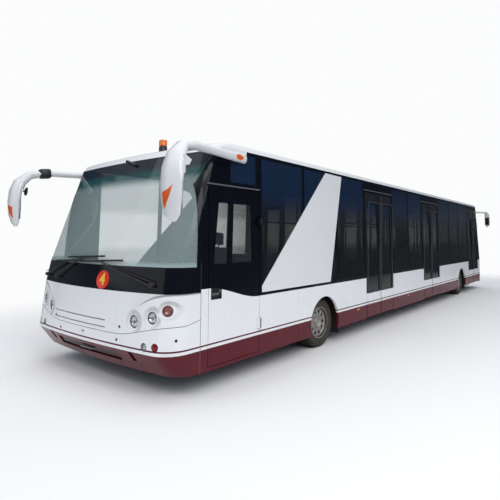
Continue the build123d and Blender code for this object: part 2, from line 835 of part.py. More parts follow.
# Wipers: pivot y, blade middle y and z
wiper_places = ((-1180, -250, 1440), (1180, 500, 1420), (760, 100, 1480))
wiper_pivot_z = 1215
arm_off = 48
blade_off = 40
blade_reach = 430


def wiper(pivot_y, tip_y, tip_z, form):
    """One wiper: a pivot boss on the mask, a slanted arm and a blade."""
    boss = rod(nose_at(pivot_y, wiper_pivot_z) - 58, pivot_y, wiper_pivot_z, 24, 90, "X") - form
    start = (nose_at(pivot_y, wiper_pivot_z) - arm_off, pivot_y, wiper_pivot_z)
    end = (nose_at(tip_y, tip_z) - blade_off + 4, tip_y, tip_z)
    outer = blade_reach if tip_y > pivot_y else -blade_reach
    ends = ((tip_y - outer, tip_z + 22), (tip_y + outer, tip_z - 12))
    blade = [(nose_at(y, z) - blade_off, y, z) for y, z in ends]
    return boss + bar(start, end, 20, 14) + bar(blade[0], blade[1], 18, 30)


seat_width = 470
seat_pitch = 800
seat_rows = 2


def seat(x, y, base):
    """A seat shell on a pedestal, facing forward."""
    half = seat_width / 2
    side_view = Polyline((-210, 420), (170, 400), (250, 960), (215, 970), (140, 450), (-210, 470), close=True)
    shell = extrude(Plane.XZ * make_face(side_view), half, both=True)
    leg = block(-60, 60, -60, 60, 0, 440)
    return Pos(x, y, base) * (shell + leg)


rail_form = RegularPolygon(17, 8)
rail_run_z = 2050
pole_top = roof_z - 110
pole_places = (900, 2150, 3100, 4250, 5300, 6600, 7700)


def grab_rails():
    """Grab poles from floor to ceiling, joined by a long rail on each side of the gangway."""
    rails = []
    for side in (-1, 1):
        y = side * 560
        length = pole_places[-1] - pole_places[0]
        run = Pos(front_axle_x + pole_places[0], y, rail_run_z) * extrude(Plane.YZ * rail_form, length)
        for x in pole_places:
            run = run + Pos(front_axle_x + x, y, floor_z) * extrude(rail_form, pole_top - floor_z)
        rails.append(run)
    return rails


dash_x = nose_x + 560
wheel_place = (nose_x + 900, -760, platform_z + 760)


def cab_fittings():
    """The driver's place: a raised platform, the dash, the steering wheel and the wall behind the seat."""
    edge = half_width - panel - 5
    platform = block(floor_front_x, platform_back_x, -edge, -60, floor_z, platform_z)
    dash = block(dash_x - 180, dash_x + 180, -edge + 160, edge - 160, platform_z, platform_z + 480)
    dash = dash + block(dash_x - 180, dash_x + 300, -1180, -300, platform_z + 380, platform_z + 560)
    column = bar((dash_x + 150, wheel_place[1], platform_z + 420), wheel_place, 50, 50)
    tilt = Pos(*wheel_place) * Rot(0, 35, 0)
    rim_ring = tilt * (Cylinder(230, 26) - Cylinder(205, 40))
    spokes = tilt * (Box(440, 36, 20) + Box(36, 440, 20))
    partition = block(platform_back_x - 40, platform_back_x, -edge, -330, platform_z - 1, 1500)
    pillar_post = block(platform_back_x - 40, platform_back_x, -370, -330, platform_z, pole_top)
    return platform + dash + column + rim_ring + spokes + partition + pillar_post


os.makedirs("parts", exist_ok=True)

form = hull()
groove_skin = form - hull(groove_depth)
inner = hull(panel + pin_play)
shell = form - hull(panel)

# Body panels
save("side_wall_left", side_wall(shell, -1))
save("side_wall_right", side_wall(shell, 1))
save("roof", shell & roof_region())
bumper = shell & front_region(skirt_z - 1, bonnet_z)
bonnet = shell & front_region(bonnet_z, mask_z)
mask = (shell & front_region(mask_z, header_z)) - windscreen_cutter()
for plane, radius in lamp_places():
    bumper = bumper - lamp_pocket(plane, radius)
    bonnet = bonnet - lamp_pocket(plane, radius)
for y0, y1, z in bonnet_slots:
    bonnet = bonnet - block(nose_x - 10, nose_x + 500, y0, y1, z, z + slot_height)
for side in (-1, 1):
    top_y, low_y = [side * y for y in hood_seam_y]
    seam = Polyline((top_y, mask_z + 1), (top_y + groove_width, mask_z + 1),
                    (low_y + groove_width, bonnet_z - 1), (low_y, bonnet_z - 1), close=True)
    seam_band = Pos(nose_x - 10, 0, 0) * extrude(Plane.YZ * make_face(seam), 200, dir=(1, 0, 0))
    bonnet = bonnet - (seam_band & groove_skin)
    bumper = bumper - tow_slot_cut(nose_x - 10, nose_x + 400, side)
plate_back = block(nose_x - 10, nose_x + 400, *plate_span, *plate_heights) & (form - hull(plate_depth))
bumper = bumper - plate_back
save("front_bumper", bumper)
save("front_panels", bonnet)
save("windscreen_mask", mask)
glass_shell = hull(pane_set) - hull(pane_set + pane_thickness)
save("windscreen", glass_shell & windscreen_cutter(pin_play))
rear = (shell & block(rear_seam_x, tail_x + 20, -beyond, beyond, skirt_z - 1, cant_z)) - rear_glass_cutter()
lens_shell = hull(pane_set) - hull(panel / 2)
rear_lenses = []
for side in (-1, 1):
    rear = rear - tow_slot_cut(tail_x - 300, tail_x + 10, side)
    for z in rear_lamp_heights:
        rear = rear - rear_lamp(side, z)
        rear_lenses.append(lens_shell & rear_lamp(side, z, pin_play))
rear_parts = [block(rear_seam_x, tail_x + 20, -beyond, beyond, rear_bumper_z, cant_z)]
for y0, y1 in ((-beyond, -rear_corner_y), (-rear_corner_y, rear_corner_y), (rear_corner_y, beyond)):
    rear_parts.append(block(rear_seam_x, tail_x + 20, y0, y1, skirt_z - 1, rear_bumper_z))
save("rear_panel", *[rear & part for part in rear_parts])
save("rear_lamps", *rear_lenses)
save("rear_window", glass_shell & rear_glass_cutter(pin_play))
save("side_glazing", *side_panes(-1), *side_panes(1))
save("fin_panels", fin_panel(-1), fin_panel(1))
save("front_lamps", *[lamp_body(plane, radius) for plane, radius in lamp_places()])

# Under the body
save("floor", floor_plate() & inner,
     *[post_socket(start, side, rear) for start in door_starts for side in (-1, 1) for rear in (False, True)])
save("chassis_frame", chassis(), *tow_sockets())
save("wheelhouses", *[wheelhouse(x, side) for x in arch_centres for side in (-1, 1)])
save("axle_beams", axle_beam(front_axle_x, True), axle_beam(rear_axle_x, False))

# Wheels and steering
tyre_form = turned(tyre_section, wheel_sides)
rim_solid = rim()
for side, hand in ((-1, "left"), (1, "right")):
    save(f"knuckle_{hand}", knuckle(side))
    for x, place in ((front_axle_x, "front"), (rear_axle_x, "rear")):
        save(f"tyre_{place}_{hand}", on_wheel(tyre_form, x, side))
        save(f"rim_{place}_{hand}", on_wheel(rim_solid, x, side))

# Doors
for number, start in enumerate(door_starts, 1):
    for side, hand in ((-1, "left"), (1, "right")):
        for rearward, place in ((False, "front"), (True, "rear")):
            name = f"door{number}_{hand}_{place}"
            save(f"{name}_leaf", *door_leaf(start, side, rearward))
            save(f"{name}_post", door_post(start, side, rearward))
cab_glass = hull(cab_glass_set) - hull(cab_glass_set + leaf_glass)
save("driver_door", driver_door(shell), *[cab_glass & cab_pane(corners, pin_play) for corners in cab_windows])

# Mirrors, lamps and wipers
mirrors = []
for side in (-1, 1):
    mirrors.append(mirror_horn(side, form, front_axle_x, front_horn, front_glass, -1))
    mirrors.append(mirror_horn(side, form, tail_x, rear_horn, rear_glass, 1))
save("mirror_arms", *[horn for horn, plate in mirrors])
save("mirror_glass", *[plate for horn, plate in mirrors])
save("beacons", *beacons(form))
save("wipers", *[wiper(*place, form) for place in wiper_places])

# Inside
save("engine", block(nose_x + 760, nose_x + 1900, 60, 1000, floor_z + pin_play, 1180))
save("cab_fittings", cab_fittings() & inner)
rows = [rear_axle_x - 900 - seat_pitch * row for row in range(seat_rows)]
save("seats", *[seat(x, side * 1150, floor_z) for side in (-1, 1) for x in rows],
     seat(wheel_place[0] + 350, wheel_place[1], platform_z))
save("grab_rails", *grab_rails())
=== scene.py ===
# An airport apron bus: the finishes and fittings that go round its frame
import json
import math

import bmesh
import bpy
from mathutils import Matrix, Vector

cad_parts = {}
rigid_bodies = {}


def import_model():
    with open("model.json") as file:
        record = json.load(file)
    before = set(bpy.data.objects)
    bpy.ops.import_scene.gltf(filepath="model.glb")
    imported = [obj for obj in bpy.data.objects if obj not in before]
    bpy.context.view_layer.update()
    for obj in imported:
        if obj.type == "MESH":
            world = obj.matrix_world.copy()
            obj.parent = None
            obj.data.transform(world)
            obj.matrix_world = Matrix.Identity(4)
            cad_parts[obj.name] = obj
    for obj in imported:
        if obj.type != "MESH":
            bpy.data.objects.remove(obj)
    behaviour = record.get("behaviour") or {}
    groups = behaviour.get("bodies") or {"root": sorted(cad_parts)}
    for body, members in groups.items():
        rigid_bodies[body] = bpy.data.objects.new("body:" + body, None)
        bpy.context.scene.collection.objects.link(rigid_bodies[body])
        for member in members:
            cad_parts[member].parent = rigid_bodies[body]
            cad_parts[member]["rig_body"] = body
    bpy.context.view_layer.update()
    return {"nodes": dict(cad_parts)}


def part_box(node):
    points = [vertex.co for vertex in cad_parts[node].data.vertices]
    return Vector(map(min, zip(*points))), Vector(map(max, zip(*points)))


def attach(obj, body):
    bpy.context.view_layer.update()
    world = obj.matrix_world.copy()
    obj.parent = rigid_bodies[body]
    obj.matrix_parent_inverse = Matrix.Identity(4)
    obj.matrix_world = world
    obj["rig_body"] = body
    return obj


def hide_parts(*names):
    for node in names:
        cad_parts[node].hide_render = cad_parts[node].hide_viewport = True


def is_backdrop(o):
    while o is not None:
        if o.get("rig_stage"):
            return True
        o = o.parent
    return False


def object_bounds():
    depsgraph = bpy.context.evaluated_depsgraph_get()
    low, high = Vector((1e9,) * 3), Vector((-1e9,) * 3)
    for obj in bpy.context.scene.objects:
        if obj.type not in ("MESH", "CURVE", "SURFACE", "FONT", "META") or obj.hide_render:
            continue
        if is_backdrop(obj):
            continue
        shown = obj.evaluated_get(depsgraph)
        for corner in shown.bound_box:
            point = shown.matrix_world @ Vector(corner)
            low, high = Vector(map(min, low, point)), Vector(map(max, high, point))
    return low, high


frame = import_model()
nodes = frame["nodes"]

# The viewpoint: eye height off the left front corner, looking along the bus's left side. The lens
# is set from a focal length in pixels and shifted to the picture's own middle.
photo_size = 500
focal_pixels = 426
principal_x = 283.2
principal_y = 206.5
sensor_width = 36
eye = (-9.654, -5.084, 1.727)
gaze = (94.19, -0.2, -53.03)

camera_data = bpy.data.cameras.new("viewpoint")
camera_data.sensor_width = sensor_width
camera_data.lens = focal_pixels * sensor_width / photo_size
camera_data.shift_x = (photo_size / 2 - principal_x) / photo_size
camera_data.shift_y = (principal_y - photo_size / 2) / photo_size
camera_data.clip_end = 200
camera = bpy.data.objects.new("viewpoint", camera_data)
camera.location = eye
camera.rotation_euler = [math.radians(angle) for angle in gaze]
bpy.context.scene.collection.objects.link(camera)
bpy.context.scene.camera = camera
bpy.context.scene.view_settings.view_transform = "Standard"


# Body panels: glass-fibre mouldings and bonded sheet, sprayed white over a maroon skirt, with a
# white and a maroon pinstripe between them. Above the waist the side frames are gloss black.
class Wire:
    """One value in a finish, for shader sums written as plain expressions."""

    def __init__(self, finish, socket):
        self.finish = finish
        self.socket = socket

    def math(self, operation, other=0.0, swapped=False):
        values = (other, self) if swapped else (self, other)
        return self.finish.node("Math", {"operation": operation}, {0: values[0], 1: values[1]})

    def __add__(self, other):
        return self.math("ADD", other)

    def __sub__(self, other):
        return self.math("SUBTRACT", other)

    def __rsub__(self, other):
        return self.math("SUBTRACT", other, True)

    def __mul__(self, other):
        return self.math("MULTIPLY", other)

    def __truediv__(self, other):
        return self.math("DIVIDE", other)

    def __pow__(self, other):
        return self.math("POWER", other)

    def __gt__(self, other):
        return self.math("GREATER_THAN", other)

    def __lt__(self, other):
        return self.math("LESS_THAN", other)

    def __abs__(self):
        return self.math("ABSOLUTE")

    def ramp(self, low, high, start=0.0, end=1.0):
        """A smooth rise from start to end as the value goes from low to high."""
        settings = {"interpolation_type": "SMOOTHSTEP"}
        return self.finish.node("MapRange", settings, {0: self, 1: low, 2: high, 3: start, 4: end})

    __radd__ = __add__
    __rmul__ = __mul__


class Finish:
    """A finish for one kind of surface, built from shader nodes."""

    def __init__(self, name, color, roughness, metallic=0.0, **constants):
        self.material = bpy.data.materials.new(name)
        self.material.use_nodes = True
        self.tree = self.material.node_tree
        self.shader = self.tree.nodes["Principled BSDF"]
        self.material.diffuse_color = (*color, 1)
        self.set("Base Color", (*color, 1))
        self.set("Roughness", roughness)
        self.set("Metallic", metallic)
        for socket, value in constants.items():
            self.set(socket.replace("_", " "), value)

    def feed(self, socket, value):
        if isinstance(value, Wire):
            self.tree.links.new(value.socket, socket)
        else:
            socket.default_value = value

    def set(self, name, value):
        self.feed(self.shader.inputs[name], value)

    def node(self, kind, settings, inputs, output=0):
        made = self.tree.nodes.new("ShaderNode" + kind)
        for name, value in settings.items():
            setattr(made, name, value)
        for name, value in inputs.items():
            self.feed(made.inputs[name], value)
        return Wire(self, made.outputs[output])

    def place(self):
        """The point on the bus, in metres, and its three parts."""
        point = self.node("TexCoord", {}, {}, "Object")
        return (point, *[self.node("SeparateXYZ", {}, {0: point}, axis) for axis in "XYZ"])

    def mix(self, factor, low, high):
        """One colour giving way to another as the factor goes from 0 to 1."""
        return self.node("Mix", {"data_type": "RGBA"}, {0: factor, 6: low, 7: high}, 2)

    def noise(self, point, scale, detail=4.0, stretch=(1, 1, 1)):
        """Soft uneven shade, stretched along an axis where it should be."""
        mapped = self.node("Mapping", {}, {"Vector": point, "Scale": stretch})
        return self.node("TexNoise", {}, {"Vector": mapped, "Scale": scale, "Detail": detail}, 0)

    def bump(self, height, strength, distance):
        """Small relief from a height."""
        inputs = {"Height": height, "Strength": strength, "Distance": distance}
        self.set("Normal", self.node("Bump", {}, inputs))


def dress(node, *finishes):
    """Give a frame node its finishes, the first one all over."""
    mesh = nodes[node].data
    mesh.materials.clear()
    for finish in finishes:
        mesh.materials.append(finish.material)
    for face in mesh.polygons:
        face.material_index = 0


def pick(piece, index, test):
    """Give the faces whose centre passes a test another of the piece's finishes."""
    for face in piece.data.polygons:
        if test(face.center, face.normal):
            face.material_index = index


white = (0.86, 0.88, 0.90, 1)
maroon = (0.105, 0.007, 0.017, 1)
black = (0.003, 0.004, 0.008, 1)
dust = (0.30, 0.25, 0.20, 1)
seam_shade = (0.10, 0.10, 0.11, 1)
skirt_top = 0.49
pinstripe_top = 0.523
thread_top = 0.541
waist = 0.98
front_seam_x = -6.395
corner_x = -6.60
seam_half = 0.0035
half_width = 1.5
knee_z = 1.0
wall_slope = 0.02


def inset(spot):
    """How deep a point lies behind the wall's face, which leans in above its knee."""
    return half_width - wall_slope * max(0, spot.z - knee_z) - abs(spot.y)


def striped(finish, x, z, upper, waist_height, point):
    """The stack of painted bands, from the skirt up, under a film of road dust."""
    color = finish.mix(z > skirt_top, maroon, white)
    color = finish.mix((z > pinstripe_top) * (z < thread_top), color, maroon)
    color = finish.mix(z > waist_height, color, upper)
    color = finish.mix(abs(x - front_seam_x) < seam_half, color, seam_shade)
    film = finish.noise(point, 1.3, 6.0, (1, 1, 2.5)) * z.ramp(0.9, 0.2, 0.004, 0.05)
    return finish.mix(film, color, dust)


cab_front_x = -6.285
cab_back_x = -5.425
cab_waist_front = 1.152
arm_root_z = 2.776
arm_root_x = -5.63
side_paint = Finish("side_paint", white[:3], 0.22, Specular_IOR_Level=0.16)
point, x, y, z = side_paint.place()
cab_waist = x.ramp(cab_front_x, cab_back_x, cab_waist_front, waist)
mirror_root = (z > arm_root_z) * (x < arm_root_x)
upper = side_paint.mix(mirror_root, black, white)
side_paint.set("Base Color", striped(side_paint, x, z, upper, cab_waist, point))
side_paint.set("Roughness", 0.17 + 0.16 * side_paint.noise(point, 5.0))
side_paint.bump(side_paint.noise(point, 3.0, 2.0), 0.05, 0.01)

# The lamps: distance from the middle line, height, radius, turn outward, and the nose there
headlamps = (
    (0.950, 0.810, 0.072, 8, -6.8636),
    (1.215, 0.870, 0.068, 14, -6.8222),
    (1.385, 0.950, 0.060, 38, -6.7544),
)
fog_lamps = ((1.130, 0.560, 0.048, 10, -6.8587), (1.290, 0.575, 0.044, 28, -6.8380))

plate_span = (-0.65, 0.75)
plate_heights = (0.33, 0.44)
plate_shade = (0.012, 0.003, 0.005, 1)
seam_start_z = 0.65
seam_rise = 0.135
pod_top_z = 1.113
pod_drop = 0.19
pod_outer_y = 1.48
pod_reach = 0.55
front_paint = Finish("front_paint", white[:3], 0.2, Specular_IOR_Level=0.2)
point, x, y, z = front_paint.place()
across = abs(y)
over_roof = 5.0
color = striped(front_paint, x, z, white, over_roof, point)
rounding = (x - corner_x).math("MAXIMUM", 0.0) * 0.2
lower_seam = seam_start_z + seam_rise * across.ramp(0.62, 1.52) + rounding
color = front_paint.mix(abs(z - lower_seam) < 0.0032, color, seam_shade)
pod_edge = pod_top_z - pod_drop * ((pod_outer_y - across).math("MAXIMUM", 0.0) / pod_reach) ** 2.2
relief = across.ramp(0.86, 1.30) * (z - pod_edge).ramp(-0.01, 0.02)
for lamp_y, lamp_z, radius, turn, nose in headlamps:
    away = ((across - lamp_y) ** 2.0 + (z - lamp_z) ** 2.0) ** 0.5
    relief = relief + away.ramp(radius, radius * 1.9, -0.8, 0.0)
recess = (y > plate_span[0]) * (y < plate_span[1]) * (z > plate_heights[0]) * (z < plate_heights[1])
front_paint.set("Base Color", front_paint.mix(recess * 0.8, color, plate_shade))
front_paint.set("Roughness", 0.18 + 0.14 * front_paint.noise(point, 5.0))
front_paint.bump(relief, 1.0, 0.05)

roof_paint = Finish("roof_paint", white[:3], 0.28, Coat_Weight=0.3)
point, x, y, z = roof_paint.place()
streaks = roof_paint.noise(point, 0.9, 6.0, (0.6, 2.5, 1)) * 0.16
roof_paint.set("Base Color", roof_paint.mix(streaks, white, (0.48, 0.47, 0.44, 1)))
roof_paint.set("Roughness", 0.25 + 0.2 * roof_paint.noise(point, 4.0))

fin_paint = Finish("fin_paint", white[:3], 0.24, Coat_Weight=0.4)
point, x, y, z = fin_paint.place()
wear = fin_paint.noise(point, 1.6, 5.0) * 0.08
fin_paint.set("Base Color", fin_paint.mix(wear, white, (0.5, 0.5, 0.5, 1)))

gloss_black = Finish("gloss_black", black[:3], 0.09, Specular_IOR_Level=0.22)
point, x, y, z = gloss_black.place()
gloss_black.set("Roughness", 0.06 + 0.12 * gloss_black.noise(point, 3.0))
haze = gloss_black.noise(point, 2.0, 6.0) * 0.06
gloss_black.set("Base Color", gloss_black.mix(haze, black, (0.06, 0.065, 0.07, 1)))

strip_grey = Finish("strip_grey", (0.16, 0.17, 0.19), 0.35, 0.3)
point, x, y, z = strip_grey.place()
strip_grey.set("Roughness", 0.25 + 0.2 * strip_grey.noise(point, 30.0))

for name in ("side_wall_left", "side_wall_right"):
    dress(name, side_paint, strip_grey)
    pick(nodes[name], 1, lambda centre, normal: centre.z > 2.3 and inset(centre) < -0.003)
for name in ("front_bumper", "front_panels"):
    dress(name, front_paint)
dress("roof", roof_paint)
dress("fin_panels", fin_paint)
dress("windscreen_mask", gloss_black)
dress("rear_panel", side_paint)


def put_down():
    """Leave nothing selected, so that the next tool acts on its own piece alone."""
    bpy.ops.object.select_all(action="DESELECT")


def take_up(piece):
    """Select one piece and nothing else."""
    put_down()
    piece.select_set(True)
    bpy.context.view_layer.objects.active = piece


def body_of(node):
    """The body that a frame node rides on."""
    return nodes[node]["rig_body"]


def smoothed(node, angle):
    """A copy of a frame node with its corners merged, shaded smooth below an angle."""
    piece = bpy.data.objects.new(node + "_skin", nodes[node].data.copy())
    bpy.context.scene.collection.objects.link(piece)
    take_up(piece)
    bpy.ops.mesh.customdata_custom_splitnormals_clear()
    bpy.ops.object.mode_set(mode="EDIT")
    bpy.ops.mesh.select_all(action="SELECT")
    bpy.ops.mesh.remove_doubles(threshold=0.0002)
    bpy.ops.object.mode_set(mode="OBJECT")
    bpy.ops.object.shade_smooth_by_angle(angle=math.radians(angle))
    weighted = piece.modifiers.new("weighted", "WEIGHTED_NORMAL")
    weighted.keep_sharp = True
    bpy.ops.object.modifier_apply(modifier=weighted.name)
    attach(piece, body_of(node))
    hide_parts(node)
    return piece


for name in ("front_bumper", "front_panels", "windscreen_mask", "rear_panel"):
    smoothed(name, 33)
smoothed("roof", 40)

# Glazing: tinted panes bonded flush into the black frames, turning navy toward the top in a painted
# reflection of the sky, and a clear windscreen with a green sun band, pale below it in a painted
# reflection of the sky. The right-hand panes by the cab have less film on them.
tint = Finish("side_glass", (0.012, 0.015, 0.024), 0.02, Specular_IOR_Level=0.3)
point, x, y, z = tint.place()
# The panes turn navy blue toward the top: a painted reflection of the sky over the dark tint.
tint.set("Base Color", tint.mix(z.ramp(1.9, 2.4), (0.012, 0.014, 0.017, 1), (0.010, 0.024, 0.058, 1)))
far_side = (y > 0.0) * (0.25 + 0.40 * x.ramp(-2.0, -4.4))
thin_band = z.ramp(1.45, 1.60) * z.ramp(2.25, 2.05) * 0.16
tint.set("Alpha", 0.86 - far_side - thin_band - 0.05 * tint.noise(point, 0.8))
tint.set("Roughness", 0.015 + 0.04 * tint.noise(point, 2.0))

# The windscreen's pale grey-green colour below the sun band is a painted reflection of the sky over the
# clear glass; the green sun band is the glass's own tint.
clear = Finish("windscreen_glass", (0.3, 0.42, 0.42), 0.02, Specular_IOR_Level=0.35)
point, x, y, z = clear.place()
band = z.ramp(2.34, 2.50)
color = clear.mix(band, (0.44, 0.56, 0.56, 1), (0.003, 0.085, 0.085, 1))
clear.set("Base Color", clear.mix(z.ramp(2.50, 2.62), color, (0.004, 0.010, 0.020, 1)))
clear.set("Alpha", 0.32 + 0.42 * band + 0.4 * z.ramp(1.47, 1.40))
clear.set("Roughness", 0.015 + 0.03 * clear.noise(point, 2.0))

cab_clear = Finish("cab_glass", (0.05, 0.06, 0.065), 0.02)
point, x, y, z = cab_clear.place()
cab_clear.set("Alpha", 0.26 + 0.08 * cab_clear.noise(point, 1.0))

for name in ("side_glazing", "rear_window", "windscreen"):
    dress(name, clear if name == "windscreen" else tint)
smoothed("windscreen", 33)
smoothed("rear_window", 33)

# Driver's door: a sprayed leaf, on the left side only, with two clear panes bonded in, a black
# grip recess and two dark hinges
handle_black = Finish("handle_black", (0.012, 0.012, 0.013), 0.4)
point, x, y, z = handle_black.place()
handle_black.set("Roughness", 0.35 + 0.2 * handle_black.noise(point, 60.0))
handle_black.bump(handle_black.noise(point, 400.0, 2.0), 0.15, 0.001)
dress("driver_door", side_paint, cab_clear, handle_black, strip_grey)
pane_low, pane_high = 1.42, 2.14
pane_skin = (0.0125, 0.021)
grip_x = (-6.246, -6.074)
grip_z = (1.018, 1.152)
hinge_x = -5.41
hinge_out_y = 1.506
head_hinge_y, head_hinge_z = 1.48, 1.8
cab_door = nodes["driver_door"]
pick(cab_door, 1, lambda centre, normal: pane_low < centre.z < pane_high and abs(normal.y) > 0.9
     and pane_skin[0] < inset(centre) < pane_skin[1])
pick(cab_door, 2, lambda centre, normal: grip_x[0] < centre.x < grip_x[1]
     and grip_z[0] < centre.z < grip_z[1] and abs(centre.y) < half_width + 0.001)
pick(cab_door, 3, lambda centre, normal: abs(centre.y) > hinge_out_y and centre.x > hinge_x
     and centre.z < knee_z)
pick(cab_door, 2, lambda centre, normal: abs(centre.y) > head_hinge_y and centre.x > hinge_x
     and centre.z > head_hinge_z)

# Passenger doors: twelve glazed leaves in black frames, with a slim bright bead round each pane,
# a rubber on each meeting edge and steel posts with swan-neck arms behind them
leaf_waist = 0.695
leaf_rail = 0.055
leaf_sill = 0.70
leaf_head = 2.41
bead = 0.009
bead_thickness = 0.005
rubber_y = 1.488
rubber_heights = (0.262, 2.585)
leaf_thickness = 0.0415
lean = math.asin(wall_slope)
leaf_black = (0.016, 0.018, 0.022, 1)
leaf_paint = Finish("leaf_paint", white[:3], 0.25, Specular_IOR_Level=0.16)
point, x, y, z = leaf_paint.place()
color = striped(leaf_paint, x, z, leaf_black, z * 0.0 + leaf_waist, point)
leaf_paint.set("Base Color", color)
leaf_paint.set("Roughness", 0.2 + 0.14 * leaf_paint.noise(point, 6.0))
gear_steel = Finish("gear_steel", (0.30, 0.31, 0.33), 0.35, 0.7)
point, x, y, z = gear_steel.place()
gear_steel.set("Roughness", 0.3 + 0.25 * gear_steel.noise(point, 14.0, 4.0, (1, 1, 0.2)))
rubber = Finish("rubber", (0.012, 0.012, 0.012), 0.75)
point, x, y, z = rubber.place()
bloom = rubber.noise(point, 9.0, 5.0) * 0.35
rubber.set("Base Color", rubber.mix(bloom, (0.012, 0.012, 0.012, 1), (0.07, 0.065, 0.06, 1)))
rubber.bump(rubber.noise(point, 260.0, 2.0), 0.2, 0.001)
bead_grey = Finish("bead_grey", (0.13, 0.135, 0.145), 0.35, 0.5)
point, x, y, z = bead_grey.place()
bead_grey.set("Roughness", 0.3 + 0.2 * bead_grey.noise(point, 40.0))


def choose(piece, test):
    """In edit mode, select the corners of a piece that pass a test."""
    bpy.ops.mesh.select_mode(type="VERT")
    bpy.ops.mesh.select_all(action="DESELECT")
    mesh = bmesh.from_edit_mesh(piece.data)
    for corner in mesh.verts:
        if test(corner.co):
            corner.select_set(True)
    mesh.select_flush(True)
    bmesh.update_edit_mesh(piece.data)


def settle(piece, spot=(0, 0, 0), turn=(0, 0, 0)):
    """Put a piece in its place and settle that place in its mesh."""
    piece.location = spot
    piece.rotation_euler = turn
    take_up(piece)
    bpy.ops.object.transform_apply(location=True, rotation=True, scale=True)


def lean_in(piece, side, foot_y):
    """Tip what stands above the knee of the wall inward, as the wall does."""
    take_up(piece)
    bpy.ops.object.mode_set(mode="EDIT")
    bpy.ops.mesh.select_all(action="SELECT")
    bpy.ops.mesh.bisect(plane_co=(0, 0, knee_z), plane_no=(0, 0, 1))
    choose(piece, lambda corner: corner.z > knee_z + 0.001)
    bpy.ops.transform.rotate(value=side * lean, orient_axis="X", center_override=(0, foot_y, knee_z))
    bpy.ops.object.mode_set(mode="OBJECT")


def plain_copy(piece, name, shift):
    """The same piece again, with a mesh of its own, moved along."""
    twin = bpy.data.objects.new(name, piece.data.copy())
    bpy.context.scene.collection.objects.link(twin)
    settle(twin, shift)
    return twin


def window_bead(name, x0, x1, z0, z1, side):
    """A slim bead round a pane: a plane, inset, its middle taken out and given a thickness."""
    put_down()
    bpy.ops.mesh.primitive_plane_add(size=1)
    piece = bpy.context.object
    piece.name = name
    bpy.ops.object.mode_set(mode="EDIT")
    bpy.ops.transform.resize(value=(x1 - x0, z1 - z0, 1), center_override=(0, 0, 0))
    bpy.ops.mesh.inset(thickness=bead)
    bpy.ops.mesh.delete(type="FACE")
    bpy.ops.object.mode_set(mode="OBJECT")
    settle(piece, ((x0 + x1) / 2, side * half_width, (z0 + z1) / 2), (math.pi / 2, 0, 0))
    wall = piece.modifiers.new("wall", "SOLIDIFY")
    wall.thickness = bead_thickness
    wall.offset = 0
    bpy.ops.object.modifier_apply(modifier=wall.name)
    lean_in(piece, side, side * half_width)
    return piece


def edge_rubber(name, at_x, z0, z1, side):
    """A bulb of rubber down a leaf's meeting edge: a circle drawn up the edge."""
    put_down()
    bpy.ops.mesh.primitive_circle_add(vertices=10, radius=bead, fill_type="NGON")
    piece = bpy.context.object
    piece.name = name
    bpy.ops.object.mode_set(mode="EDIT")
    bpy.ops.transform.resize(value=(1, 1.6, 1), center_override=(0, 0, 0))
    bpy.ops.mesh.extrude_region_move(TRANSFORM_OT_translate={"value": (0, 0, z1 - z0)})
    bpy.ops.mesh.select_all(action="SELECT")
    bpy.ops.mesh.normals_make_consistent(inside=False)
    bpy.ops.object.mode_set(mode="OBJECT")
    settle(piece, (at_x, side * rubber_y, z0))
    lean_in(piece, side, side * rubber_y)
    bpy.ops.object.shade_smooth_by_angle(angle=math.radians(50))
    return piece


for name in [name for name in nodes if name.endswith("_leaf")]:
    dress(name, leaf_paint, tint, gear_steel)
    low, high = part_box(name)
    side = -1 if "left" in name else 1
    pick(nodes[name], 1, lambda centre, normal: low.x + leaf_rail < centre.x < high.x - leaf_rail
         and leaf_sill < centre.z < leaf_head and abs(normal.y) > 0.9)
    pick(nodes[name], 2, lambda centre, normal: inset(centre) > leaf_thickness)
    pane_x = (low.x + leaf_rail - bead, high.x - leaf_rail + bead)
    frame_bead = window_bead(name + "_bead", *pane_x, leaf_sill - bead, leaf_head + bead, side)
    meeting = high.x - 0.008 if "front" in name else low.x + 0.008
    seal = edge_rubber(name + "_rubber", meeting, *rubber_heights, side)
    for trim, finish in ((frame_bead, bead_grey), (seal, rubber)):
        trim.data.materials.append(finish.material)
        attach(trim, body_of(name))
for name in [name for name in nodes if name.endswith("_post")]:
    dress(name, gear_steel)

# Wheels: radial tyres with four grooves, dusty sidewalls, and pressed steel wheels sprayed silver,
# held by ten nuts round a turned hub cap
axles = {"front": -3.775, "rear": 4.325}
track_y = 1.28
hub_z = 0.38
hand_holes = 10
hole_circle = 0.168


def around_axle(finish):
    """The distance from the nearer axle and the turn round it."""
    point, x, y, z = finish.place()
    along = x - axles["front"] - (x > 0.0) * (axles["rear"] - axles["front"])
    up = z - hub_z
    radius = (along ** 2.0 + up ** 2.0) ** 0.5
    turn = finish.node("Math", {"operation": "ARCTAN2"}, {0: up, 1: along})
    return point, radius, turn


tyre_rubber = Finish("tyre_rubber", (0.035, 0.032, 0.03), 0.85)
point, radius, turn = around_axle(tyre_rubber)
dirt = tyre_rubber.noise(point, 7.0, 6.0)
dusty = dirt * radius.ramp(0.372, 0.30, 0.3, 0.8)
tyre_rubber.set("Base Color", tyre_rubber.mix(dusty, (0.012, 0.011, 0.010, 1), (0.10, 0.078, 0.060, 1)))
tyre_rubber.set("Roughness", 0.7 + 0.25 * dirt)
sipes = ((turn * 70.0).math("SINE") > 0.75) * (radius > 0.361)
ridges = ((radius * 520.0).math("SINE") * 0.3) * (radius < 0.352)
tyre_rubber.bump(ridges - sipes, 0.5, 0.004)

